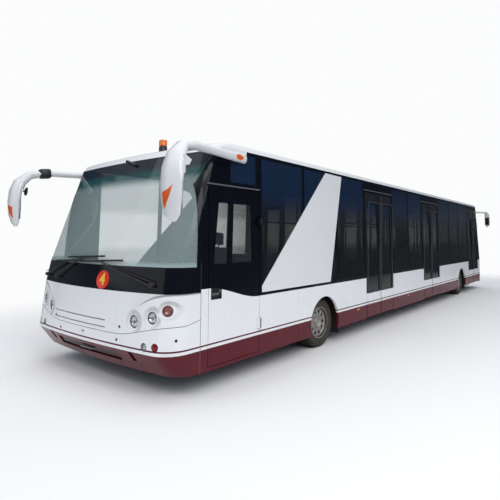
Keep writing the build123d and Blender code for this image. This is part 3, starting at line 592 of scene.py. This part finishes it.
wheel_silver = Finish("wheel_silver", (0.42, 0.41, 0.39), 0.4, 0.75)
point, radius, turn = around_axle(wheel_silver)
grime = wheel_silver.noise(point, 11.0, 6.0)
hole_turn = (turn * (hand_holes / math.tau) + 0.5).math("FRACT") - 0.5
hole_along = hole_turn * (math.tau / hand_holes * hole_circle)
hole_away = (hole_along ** 2.0 + (radius - hole_circle) ** 2.0) ** 0.5
# Near black in and round the ten hand holes and in the ring at the root of the rim: painted shade in the
# hollows of the wheel.
rim_root = radius.ramp(0.235, 0.222) * radius.ramp(0.205, 0.215)
hole_and_root_shade = (hole_away.ramp(0.036, 0.023) + rim_root).math("MINIMUM", 1.0)
color = wheel_silver.mix(grime, (0.72, 0.70, 0.67, 1), (0.12, 0.09, 0.07, 1))
wheel_silver.set("Base Color", wheel_silver.mix(hole_and_root_shade * 0.9, color, (0.012, 0.010, 0.009, 1)))
wheel_silver.set("Roughness", 0.3 + 0.35 * grime)
wheel_silver.set("Metallic", 0.85 - 0.6 * grime)

nut_steel = Finish("nut_steel", (0.5, 0.49, 0.47), 0.3, 0.9)
point, radius, turn = around_axle(nut_steel)
nut_steel.set("Roughness", 0.25 + 0.3 * nut_steel.noise(point, 30.0))


def lathe(name, stations, sides, capped=True, crease=35):
    """A piece turned round the Z axis, from the height and the radius at each station."""
    put_down()
    height, radius = stations[0]
    fill = "NGON" if capped else "NOTHING"
    bpy.ops.mesh.primitive_circle_add(vertices=sides, radius=radius, fill_type=fill)
    piece = bpy.context.object
    piece.name = name
    bpy.ops.object.mode_set(mode="EDIT")
    bpy.ops.transform.translate(value=(0, 0, height))
    for (low, was), (high, now) in zip(stations, stations[1:]):
        bpy.ops.mesh.extrude_edges_move(TRANSFORM_OT_translate={"value": (0, 0, high - low)})
        bpy.ops.transform.resize(value=(now / was, now / was, 1), center_override=(0, 0, 0))
    if capped:
        bpy.ops.mesh.edge_face_add()
    bpy.ops.mesh.select_all(action="SELECT")
    bpy.ops.mesh.remove_doubles(threshold=0.00005)
    bpy.ops.mesh.normals_make_consistent(inside=False)
    bpy.ops.object.mode_set(mode="OBJECT")
    bpy.ops.object.shade_smooth_by_angle(angle=math.radians(crease))
    return piece


def facing(way):
    """The turn that points a lathe piece's Z axis along a direction, its Y axis kept up."""
    return Vector(way).to_track_quat("Z", "Y").to_euler()


def join(name, pieces):
    """Several pieces made one."""
    take_up(pieces[0])
    for piece in pieces[1:]:
        piece.select_set(True)
    bpy.ops.object.join()
    pieces[0].name = name
    return pieces[0]


tyre_radius = 0.380
groove_radius = 0.371
tread = [(0.098, tyre_radius)]
for groove_out, groove_in in ((0.072, 0.060), (0.028, 0.016)):
    tread += [(groove_out, tyre_radius), (groove_out - 0.002, groove_radius),
              (groove_in + 0.002, groove_radius), (groove_in, tyre_radius)]
sidewall = [(0.092, 0.2405), (0.104, 0.252), (0.111, 0.264), (0.1115, 0.270), (0.116, 0.285),
            (0.1205, 0.305), (0.122, 0.322), (0.1212, 0.334), (0.1222, 0.338), (0.1210, 0.342),
            (0.116, 0.356), (0.110, 0.368)]
near_half = sidewall + tread
section = near_half + [(-height, radius) for height, radius in reversed(near_half)]
tyre_form = lathe("tyre_form", section + [section[0]], 72, False)
cap_steps = ((0.099, 0.069), (0.106, 0.067), (0.109, 0.058), (0.1095, 0.048), (0.113, 0.044),
             (0.117, 0.028), (0.118, 0.002))
cap_form = lathe("cap_form", cap_steps, 40)
nut_steps = ((0.058, 0.021), (0.062, 0.021), (0.063, 0.0165), (0.079, 0.0165), (0.082, 0.013),
             (0.083, 0.008), (0.094, 0.008), (0.096, 0.005))
nut_form = lathe("nut_form", nut_steps, 6, True, 25)
nut_circle = 0.118
nut_count = 10
for place, axle_x in axles.items():
    for hand, side in (("left", -1), ("right", 1)):
        outward = facing((0, side, 0))
        hub = (axle_x, side * track_y, hub_z)
        tyre_node = f"tyre_{place}_{hand}"
        tyre = plain_copy(tyre_form, tyre_node + "_cover", (0, 0, 0))
        settle(tyre, hub, outward)
        tyre.data.materials.append(tyre_rubber.material)
        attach(tyre, body_of(tyre_node))
        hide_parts(tyre_node)
        rim_node = f"rim_{place}_{hand}"
        dress(rim_node, wheel_silver)
        smoothed(rim_node, 22)
        fittings = [plain_copy(cap_form, "cap", (0, 0, 0))]
        for index in range(nut_count):
            angle = 2 * math.pi * (index + 0.5) / nut_count
            spot = (nut_circle * math.cos(angle), nut_circle * math.sin(angle), 0)
            fittings.append(plain_copy(nut_form, "nut", spot))
        fittings = join(f"hub_fittings_{place}_{hand}", fittings)
        settle(fittings, hub, outward)
        fittings.data.materials.clear()
        fittings.data.materials.append(nut_steel.material)
        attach(fittings, body_of(rim_node))
for form in (tyre_form, cap_form, nut_form):
    bpy.data.objects.remove(form)

# Running gear: a welded frame of box rails sprayed chassis black, forged axle beams and knuckles,
# and plastic wheelhouses with rubber flaps
chassis_black = Finish("chassis_black", (0.02, 0.02, 0.022), 0.5)
point, x, y, z = chassis_black.place()
mud = chassis_black.noise(point, 4.0, 6.0) * 0.45
chassis_black.set("Base Color", chassis_black.mix(mud, (0.014, 0.014, 0.015, 1), (0.12, 0.10, 0.08, 1)))
chassis_black.set("Roughness", 0.45 + 0.35 * mud)
chassis_black.bump(chassis_black.noise(point, 60.0, 4.0), 0.2, 0.003)
for name in ("chassis_frame", "axle_beams", "knuckle_left", "knuckle_right"):
    dress(name, chassis_black)
house_black = Finish("house_black", (0.012, 0.012, 0.013), 0.7)
point, x, y, z = house_black.place()
splash = house_black.noise(point, 3.0, 6.0) * z.ramp(0.9, 0.3, 0.15, 0.6)
house_black.set("Base Color", house_black.mix(splash, (0.008, 0.008, 0.009, 1), (0.10, 0.085, 0.07, 1)))
dress("wheelhouses", house_black, rubber)
house_foot_z = 0.295
pick(nodes["wheelhouses"], 1, lambda centre, normal: centre.z < house_foot_z)

# Engine: one block over the floor ahead of the front axle, in engine grey under a film of oil.
# It stands in for the engine and gearbox in their housing beside the driver.
engine_grey = Finish("engine_grey", (0.14, 0.15, 0.16), 0.45, 0.3)
point, x, y, z = engine_grey.place()
oil = engine_grey.noise(point, 5.0, 6.0) * 0.5
engine_grey.set("Base Color", engine_grey.mix(oil, (0.15, 0.16, 0.17, 1), (0.05, 0.045, 0.04, 1)))
engine_grey.bump(engine_grey.noise(point, 40.0), 0.3, 0.004)
dress("engine", engine_grey)

# Saloon: speckled slip-resistant floor, plastic seat shells, brushed rails and a grey moulded
# cab. The driver's seat has a padded back and a headrest on two bars.
floor_cover = Finish("floor_cover", (0.18, 0.19, 0.2), 0.6)
point, x, y, z = floor_cover.place()
speckle = floor_cover.noise(point, 220.0, 1.0) > 0.62
chips = (0.42, 0.43, 0.45, 1)
floor_cover.set("Base Color", floor_cover.mix(speckle * 0.5, (0.15, 0.16, 0.17, 1), chips))
floor_cover.bump(floor_cover.noise(point, 300.0, 2.0), 0.2, 0.001)
dress("floor", floor_cover)
seat_shell = Finish("seat_shell", (0.05, 0.06, 0.09), 0.45)
point, x, y, z = seat_shell.place()
weave = (x * 900.0).math("SINE") * (y * 900.0).math("SINE")
fleck = seat_shell.noise(point, 30.0, 4.0) * 0.5
seat_shell.set("Base Color", seat_shell.mix(fleck, (0.03, 0.035, 0.05, 1), (0.09, 0.10, 0.14, 1)))
seat_shell.bump(weave, 0.2, 0.001)
dress("seats", seat_shell)
dress("grab_rails", gear_steel)
cab_plastic = Finish("cab_plastic", (0.07, 0.072, 0.075), 0.55)
point, x, y, z = cab_plastic.place()
fade = cab_plastic.noise(point, 5.0) * 0.4
cab_plastic.set("Base Color", cab_plastic.mix(fade, (0.06, 0.062, 0.066, 1), (0.14, 0.14, 0.145, 1)))
cab_plastic.bump(cab_plastic.noise(point, 350.0, 3.0), 0.25, 0.001)
dress("cab_fittings", cab_plastic)


def strut(name, start, end, width, depth, slim=1.0):
    """A bar between two points with its edges eased, slimmer at its far end."""
    way = Vector(end) - Vector(start)
    put_down()
    bpy.ops.mesh.primitive_cube_add(size=1)
    piece = bpy.context.object
    piece.name = name
    bpy.ops.object.mode_set(mode="EDIT")
    bpy.ops.transform.resize(value=(width, depth, way.length), center_override=(0, 0, 0))
    bpy.ops.transform.translate(value=(0, 0, way.length / 2))
    choose(piece, lambda corner: corner.z > way.length / 2)
    bpy.ops.transform.resize(value=(slim, slim, 1), center_override=(0, 0, way.length))
    bpy.ops.mesh.select_all(action="SELECT")
    bpy.ops.mesh.bevel(offset=min(width, depth) * 0.22, segments=2, affect="EDGES")
    bpy.ops.object.mode_set(mode="OBJECT")
    bpy.ops.object.shade_smooth_by_angle(angle=math.radians(35))
    settle(piece, start, way.to_track_quat("Z", "Y").to_euler())
    return piece


seat_y = -0.76
padding = [strut("back_pad", (-5.545, seat_y, 1.10), (-5.475, seat_y, 1.60), 0.085, 0.44, 0.9),
           strut("headrest", (-5.478, seat_y, 1.63), (-5.462, seat_y, 1.80), 0.075, 0.27, 0.9)]
for bar_y in (seat_y - 0.06, seat_y + 0.06):
    padding.append(strut("headrest_bar", (-5.475, bar_y, 1.57), (-5.470, bar_y, 1.66), 0.012, 0.012))
for pad in padding:
    pad.data.materials.append(seat_shell.material)
padding = join("driver_seat_padding", padding)
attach(padding, "body")

# Driver's door lever: a steel pull bar let into the black recess of the driver's door, with a
# round lock barrel beside it. Both are screwed to the door and swing with it.
lever = strut("lever", (-6.232, -1.496, 1.082), (-6.120, -1.496, 1.082), 0.010, 0.030)
lock = lathe("lock", ((0.0, 0.011), (0.010, 0.011), (0.012, 0.009), (0.010, 0.005), (0.010, 0.001)), 20)
settle(lock, (-6.098, -1.484, 1.110), facing((0, -1, 0)))
for part, finish in ((lever, bead_grey), (lock, gear_steel)):
    part.data.materials.append(finish.material)
door_lever = join("driver_door_lever", [lever, lock])
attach(door_lever, body_of("driver_door"))

# Front lamps: round units pushed into the front panels and bumper, each a dark plastic barrel with
# a chromed bowl behind a clear lens. The outermost lamp of each row has a coloured lens.
barrel_black = Finish("barrel_black", (0.03, 0.03, 0.032), 0.4)
point, x, y, z = barrel_black.place()
barrel_black.set("Roughness", 0.35 + 0.2 * barrel_black.noise(point, 50.0))
chrome = Finish("bowl_chrome", (0.55, 0.57, 0.60), 0.12, 1.0)
point, x, y, z = chrome.place()
chrome.set("Roughness", 0.08 + 0.2 * chrome.noise(point, 20.0))
lens = Finish("lamp_lens", (0.6, 0.63, 0.66), 0.04, Specular_IOR_Level=0.35)
point, x, y, z = lens.place()
lens.set("Alpha", 0.10 + 0.05 * lens.noise(point, 30.0))
lens.bump((y * 700.0).math("SINE"), 0.25, 0.001)
amber_lens = Finish("amber_lens", (0.42, 0.09, 0.07), 0.08)
point, x, y, z = amber_lens.place()
amber_lens.set("Alpha", 0.30 + 0.1 * amber_lens.noise(point, 30.0))
amber_lens.bump((y * 700.0).math("SINE") * (z * 700.0).math("SINE"), 0.3, 0.001)
red_lens = Finish("red_lens", (0.30, 0.01, 0.02), 0.08)
point, x, y, z = red_lens.place()
red_lens.set("Alpha", 0.6 + 0.1 * red_lens.noise(point, 30.0))
red_lens.bump((y * 600.0).math("SINE") * (z * 600.0).math("SINE"), 0.3, 0.001)

lamp_play = 0.0005
lamp_sides = 40
lamp_parts = []
for side in (-1, 1):
    for row in (headlamps, fog_lamps):
        for lamp_y, lamp_z, radius, turn, nose in row:
            outward = (-math.cos(math.radians(turn)), side * math.sin(math.radians(turn)), 0)
            wall = radius - lamp_play
            barrel = lathe("barrel", ((-0.076, radius * 0.5), (-0.076, wall), (-0.016, wall),
                                      (-0.014, radius * 0.94), (-0.016, radius * 0.88),
                                      (-0.022, radius * 0.87), (-0.062, radius * 0.86)), lamp_sides)
            bowl = lathe("bowl", ((-0.060, 0.002), (-0.060, radius * 0.84), (-0.024, radius * 0.865),
                                  (-0.023, radius * 0.855), (-0.036, radius * 0.73),
                                  (-0.048, radius * 0.49), (-0.052, radius * 0.3),
                                  (-0.050, radius * 0.24), (-0.034, radius * 0.2),
                                  (-0.031, radius * 0.12), (-0.030, 0.001)), lamp_sides)
            glass = lathe("glass", ((-0.020, radius * 0.88), (-0.0165, radius * 0.87),
                                    (-0.012, radius * 0.7), (-0.009, radius * 0.4),
                                    (-0.008, 0.001)), lamp_sides)
            outer = lamp_y == row[-1][0]
            colored = (amber_lens if row is headlamps else red_lens) if outer else lens
            for part, finish in ((barrel, barrel_black), (bowl, chrome), (glass, colored)):
                part.data.materials.append(finish.material)
                settle(part, (nose, side * lamp_y, lamp_z), facing(outward))
                lamp_parts.append(part)
lamp_set = join("front_lamp_set", lamp_parts)
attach(lamp_set, "body")
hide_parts("front_lamps")

# Rear lamps: flat ribbed plastic lenses set flush in the rear panel, three on each side, red over
# amber over red
rear_red = Finish("rear_red", (0.42, 0.01, 0.02), 0.12, Coat_Weight=0.5)
rear_amber = Finish("rear_amber", (0.75, 0.20, 0.02), 0.12, Coat_Weight=0.5)
for finish in (rear_red, rear_amber):
    point, x, y, z = finish.place()
    finish.bump((y * 420.0).math("SINE") * (z * 420.0).math("SINE"), 0.6, 0.002)
    finish.set("Roughness", 0.1 + 0.12 * finish.noise(point, 20.0))
dress("rear_lamps", rear_red, rear_amber)
amber_low, amber_high = 0.63, 0.77
pick(nodes["rear_lamps"], 1, lambda centre, normal: amber_low < centre.z < amber_high)

# Mirrors: moulded horns sprayed white, with orange reflectors on the heads and on the front
# arms' rounded ends, and dark mirror plates let into their backs. The right-hand front arm also
# has a black sleeve and a small round kerb mirror.
reflector = (0.85, 0.13, 0.01, 1)
shield_foot = 1.995
shield_top = 2.16
head_front_x = -6.95
oval_x, oval_z = -5.845, 2.712
mirror_paint = Finish("mirror_paint", white[:3], 0.25, Coat_Weight=0.4)
point, x, y, z = mirror_paint.place()
normal = mirror_paint.node("TexCoord", {}, {}, "Normal")
across = abs(y)
edge_y = 1.72 + 0.15 * ((z - shield_foot).math("MAXIMUM", 0.0) / 0.205) ** 0.6
top_z = shield_top + 0.05 * ((across - 1.70) / 0.16) ** 2.0
shield = (z > shield_foot) * (z < top_z) * (across < edge_y)
facing_in = -1.0 * y / across * mirror_paint.node("SeparateXYZ", {}, {0: normal}, "Y")
shield = shield * (x < head_front_x) * (facing_in < 0.25)
oval = (((x - oval_x) / 0.075) ** 2.0 + ((z - oval_z) / 0.036) ** 2.0) < 1.0
mark = (shield + oval * (across > 1.5)).math("MINIMUM", 1.0)
film = mirror_paint.noise(point, 4.0, 5.0) * 0.1
mirror_paint.set("Base Color", mirror_paint.mix(mark, mirror_paint.mix(film, white, dust), reflector))
mirror_paint.set("Roughness", 0.18 + 0.15 * mirror_paint.noise(point, 9.0))
dress("mirror_arms", mirror_paint)
smoothed("mirror_arms", 60)
mirror_face = Finish("mirror_face", (0.5, 0.53, 0.56), 0.03, 1.0)
point, x, y, z = mirror_face.place()
mirror_face.set("Roughness", 0.02 + 0.05 * mirror_face.noise(point, 8.0))
smear = mirror_face.noise(point, 3.0) * 0.4
mirror_face.set("Base Color", mirror_face.mix(smear, (0.5, 0.53, 0.56, 1), (0.2, 0.22, 0.24, 1)))
dress("mirror_glass", mirror_face)
sleeve = strut("arm_sleeve", (-6.620, 1.668, 2.692), (-6.780, 1.706, 2.674), 0.144, 0.144)
kerb_steps = ((0.0, 0.012), (0.020, 0.012), (0.024, 0.040), (0.034, 0.060), (0.046, 0.063),
              (0.050, 0.059), (0.047, 0.052), (0.050, 0.002))
kerb_mirror = lathe("kerb_mirror", kerb_steps, 36)
settle(kerb_mirror, (-6.992, 1.690, 2.395), facing((1, -0.15, -0.1)))
for part in (sleeve, kerb_mirror):
    part.data.materials.append(handle_black.material)
mirror_fittings = join("right_mirror_fittings", [sleeve, kerb_mirror])
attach(mirror_fittings, "body")

# Roof lamps: an amber plastic warning lamp on a black foot, and a low white moulded dome on a dark
# disc, both screwed down to the roof over the cab
lamp_amber = Finish("lamp_amber", (0.9, 0.20, 0.01), 0.15, Coat_Weight=0.5)
point, x, y, z = lamp_amber.place()
lamp_amber.bump((z * 900.0).math("SINE"), 0.4, 0.002)
lamp_amber.set("Roughness", 0.12 + 0.1 * lamp_amber.noise(point, 30.0))
beacon_spot = (-6.005, -0.25)
dome_spot = (-5.525, -0.90)
roof_pieces = (
    ("beacon_foot", beacon_spot, 2.872, 36, handle_black,
     ((0.0, 0.0548), (0.098, 0.0548), (0.102, 0.052), (0.120, 0.050))),
    ("beacon_glass", beacon_spot, 2.9835, 36, lamp_amber,
     ((0.0, 0.0500), (0.004, 0.0540), (0.075, 0.0540), (0.082, 0.051), (0.0855, 0.040), (0.0865, 0.001))),
    ("dome_disc", dome_spot, 2.862, 48, handle_black,
     ((0.0, 0.1045), (0.115, 0.1045), (0.120, 0.101), (0.121, 0.090))),
    ("dome_shell", dome_spot, 2.982, 48, fin_paint,
     ((0.0, 0.080), (0.008, 0.080), (0.016, 0.070), (0.0205, 0.050), (0.0225, 0.025), (0.023, 0.001))),
)
roof_lamps = []
for name, spot, base, sides, finish, steps in roof_pieces:
    lamp = lathe(name, steps, sides)
    lamp.data.materials.append(finish.material)
    settle(lamp, (*spot, base))
    roof_lamps.append(lamp)
roof_lamps = join("roof_lamp_set", roof_lamps)
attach(roof_lamps, "body")
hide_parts("beacons")

# Wipers: three black arms on pivots in the mask, each with a second thin rod beside it and a
# blade of a steel spine over a rubber strip
wiper_z = 1.215

# Each wiper's pivot, the arm's tip and the two ends of its blade
wipers = (
    ((-6.838, -1.180, wiper_z), (-6.895, -0.250, 1.440), (-6.8555, -0.680, 1.462), (-6.9061, 0.180, 1.428)),
    ((-6.838, 1.180, wiper_z), (-6.886, 0.500, 1.420), (-6.9030, 0.070, 1.442), (-6.8402, 0.930, 1.408)),
    ((-6.908, 0.760, wiper_z), (-6.884, 0.100, 1.480), (-6.8704, -0.330, 1.502), (-6.8689, 0.530, 1.468)),
)
wiper_parts = []
for pivot, tip, blade_start, blade_end in wipers:
    boss = lathe("boss", ((0.0, 0.024), (0.070, 0.024), (0.078, 0.020), (0.080, 0.012)), 24)
    settle(boss, (pivot[0] + 0.070, pivot[1], pivot[2]), facing((-1, 0, 0)))
    arm = strut("arm", pivot, tip, 0.026, 0.014, 0.6)
    lift = Vector((0, 0, 0.045))
    rod = strut("rod", Vector(pivot) + lift * 0.9, Vector(tip) + lift * 0.3, 0.008, 0.008)
    spine = strut("spine", blade_start, blade_end, 0.012, 0.012)
    inward = Vector((0.012, 0, 0))
    wipe = strut("wipe", Vector(blade_start) + inward, Vector(blade_end) + inward, 0.007, 0.022)
    parts = [boss, arm, rod, spine, wipe]
    for share in (0.15, 0.38, 0.62, 0.85):
        at = Vector(blade_start).lerp(Vector(blade_end), share)
        step = (Vector(blade_end) - Vector(blade_start)).normalized() * 0.03
        parts.append(strut("claw", at - step, at + step, 0.018, 0.018, 0.8))
    for part in parts:
        part.data.materials.append((rubber if part is wipe else handle_black).material)
    wiper_parts += parts
wiper_set = join("wiper_set", wiper_parts)
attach(wiper_set, "body")
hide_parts("wipers")

# Fleet number: a red oval disc of thin sheet with a plain yellow figure printed on it, stuck on
# the black mask under the windscreen
badge_red = Finish("badge_red", (0.72, 0.035, 0.02), 0.3)
point, x, y, z = badge_red.place()
mottle = badge_red.noise(point, 20.0) * 0.3
badge_red.set("Base Color", badge_red.mix(mottle, (0.74, 0.04, 0.02, 1), (0.5, 0.02, 0.015, 1)))
figure_yellow = Finish("figure_yellow", (0.9, 0.55, 0.04), 0.35)
point, x, y, z = figure_yellow.place()
figure_yellow.set("Roughness", 0.3 + 0.15 * figure_yellow.noise(point, 40.0))
badge_spot = Vector((-6.896, -0.363, 1.230))
badge_way = Vector((-0.984, -0.06, 0.163))
badge_steps = ((-0.006, 1.0), (0.003, 1.0), (0.0045, 0.985), (0.0045, 0.93), (0.004, 0.92), (0.004, 0.001))
badge = lathe("badge", badge_steps, 56)
badge.scale = (0.117, 0.108, 1)
badge.data.materials.append(badge_red.material)
settle(badge, badge_spot, facing(badge_way))
put_down()
bpy.ops.object.text_add()
figure = bpy.context.object
figure.data.body = "4"
figure.data.align_x = "CENTER"
figure.data.align_y = "CENTER"
figure.data.size = 0.19
figure.data.offset = 0.006
figure.data.extrude = 0.0012
bpy.ops.object.convert(target="MESH")
figure.name = "figure"
figure.data.materials.append(figure_yellow.material)
settle(figure, badge_spot + badge_way * 0.005, facing(badge_way))
fleet_number = join("fleet_number", [badge, figure])
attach(fleet_number, "body")

# Small front fittings: rubber plugs in the tapped holes of the bumper and bonnet, a plate bar in
# the recess, a catch under the bonnet's middle and a black sensor at the head of the windscreen
plugs = (((-6.900, 0.580, 0.571), (-1, 0.04, 0)), ((-6.895, -0.681, 0.586), (-1, -0.06, 0)),
         ((-6.698, -1.463, 0.647), (-0.43, -0.9, 0)), ((-6.698, 1.463, 0.647), (-0.43, 0.9, 0)),
         ((-6.890, -0.724, 0.733), (-1, -0.06, 0)), ((-6.882, 0.749, 0.710), (-1, 0.12, 0)))
plug_steps = ((-0.01, 0.016), (0.002, 0.016), (0.004, 0.013), (0.0035, 0.006), (0.002, 0.001))
front_bits = []
for spot, way in plugs:
    plug = lathe("plug", plug_steps, 20)
    plug.data.materials.append(handle_black.material)
    settle(plug, spot, facing(way))
    front_bits.append(plug)
catch = strut("catch", (-6.919, -0.02, 0.600), (-6.919, 0.02, 0.600), 0.02, 0.012)
catch.data.materials.append(strip_grey.material)
bracket = strut("bracket", (-6.842, -0.11, 0.385), (-6.842, 0.17, 0.385), 0.022, 0.018)
bracket.data.materials.append(strip_grey.material)
sensor = strut("screen_sensor", (-6.372, 0.030, 2.748), (-6.403, -0.210, 2.668), 0.045, 0.036, 0.8)
sensor.data.materials.append(handle_black.material)
front_bits = join("front_small_fittings", front_bits + [catch, bracket, sensor])
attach(front_bits, "body")

# Side markers: small amber plastic lenses on black bases, screwed low on the skirt behind each
# front wheel and between the doors
marker_z = 0.452
markers = []
for side in (-1, 1):
    for marker_x in (-2.657, -0.222, 2.40, 5.40):
        for kind, reach, face_y, thickness, tall, finish in (
                ("marker_base", 0.055, 1.500, 0.010, 0.036, handle_black),
                ("marker_lens", 0.047, 1.504, 0.012, 0.027, lamp_amber)):
            start = (marker_x - reach, side * face_y, marker_z)
            end = (marker_x + reach, side * face_y, marker_z)
            marker = strut(kind, start, end, thickness, tall)
            marker.data.materials.append(finish.material)
            markers.append(marker)
markers = join("side_markers", markers)
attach(markers, "body")

# Roof hatches: two moulded plastic escape hatches on the middle line, clamped down on a frame,
# with a raised middle
hatch_size = (0.78, 0.62, 0.05)
hatches = []
for hatch_x in (-2.6, 3.4):
    put_down()
    bpy.ops.mesh.primitive_cube_add(size=1)
    hatch = bpy.context.object
    bpy.ops.object.mode_set(mode="EDIT")
    bpy.ops.transform.resize(value=hatch_size, center_override=(0, 0, 0))
    bpy.ops.mesh.bevel(offset=0.014, segments=3, affect="EDGES")
    choose(hatch, lambda corner: corner.z > hatch_size[2] / 2 - 0.0001)
    bpy.ops.mesh.inset(thickness=0.06)
    bpy.ops.transform.translate(value=(0, 0, 0.012))
    bpy.ops.object.mode_set(mode="OBJECT")
    bpy.ops.object.shade_smooth_by_angle(angle=math.radians(35))
    hatch.data.materials.append(roof_paint.material)
    settle(hatch, (hatch_x, 0, 2.972))
    hatches.append(hatch)
hatches = join("roof_hatches", hatches)
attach(hatches, "body")

# The studio: a pale floor that fades out round the bus, two broad soft lamps and a pale surround.
# What the glossy paint and the glass mirror is a darker sky than the one the eye sees.
world = bpy.data.worlds.new("studio")
world.use_nodes = True
sky = world.node_tree
background = sky.nodes["Background"]
direction = sky.nodes.new("ShaderNodeTexCoord")
height = sky.nodes.new("ShaderNodeSeparateXYZ")
shade = sky.nodes.new("ShaderNodeValToRGB")
sight = sky.nodes.new("ShaderNodeLightPath")
choice = sky.nodes.new("ShaderNodeMix")
choice.data_type = "RGBA"
stops = ((0.0, (0.06, 0.065, 0.07, 1)), (0.05, (0.13, 0.14, 0.15, 1)), (0.12, (0.035, 0.045, 0.07, 1)),
         (0.35, (0.09, 0.12, 0.19, 1)), (0.65, (0.80, 0.82, 0.86, 1)), (1.0, (1.2, 1.22, 1.25, 1)))
while len(shade.color_ramp.elements) < len(stops):
    shade.color_ramp.elements.new(0.5)
for element, (place, color) in zip(shade.color_ramp.elements, stops):
    element.position = place
    element.color = color
sky.links.new(direction.outputs["Generated"], height.inputs[0])
sky.links.new(height.outputs[2], shade.inputs[0])
sky.links.new(sight.outputs["Is Camera Ray"], choice.inputs[0])
sky.links.new(shade.outputs[0], choice.inputs[6])
choice.inputs[7].default_value = (0.97, 0.975, 0.98, 1)
sky.links.new(choice.outputs[2], background.inputs[0])
background.inputs[1].default_value = 1.0
bpy.context.scene.world = world

put_down()
bpy.ops.mesh.primitive_plane_add(size=120, location=(0, 0, 0))
ground = bpy.context.object
ground.name = "studio_floor"
ground_finish = Finish("studio_floor", (0.9, 0.9, 0.9), 0.7)
point, x, y, z = ground_finish.place()
ground_finish.set("Roughness", 0.65 + 0.1 * ground_finish.noise(point, 2.0))
ground_finish.set("Alpha", abs(x).ramp(14.0, 9.0) * abs(y).ramp(8.0, 3.0))
ground.data.materials.append(ground_finish.material)
ground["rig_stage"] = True

soft_lamps = (("key", 8, 800, (-9, -11, 9)), ("fill", 10, 260, (-15, 5, 7)))
for name, size, power, spot in soft_lamps:
    lamp_data = bpy.data.lights.new(name, "AREA")
    lamp_data.size = size
    lamp_data.energy = power
    lamp = bpy.data.objects.new(name, lamp_data)
    lamp.location = spot
    lamp.rotation_euler = (Vector((0, 0, 1)) - Vector(spot)).to_track_quat("-Z", "Y").to_euler()
    bpy.context.scene.collection.objects.link(lamp)

low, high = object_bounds()
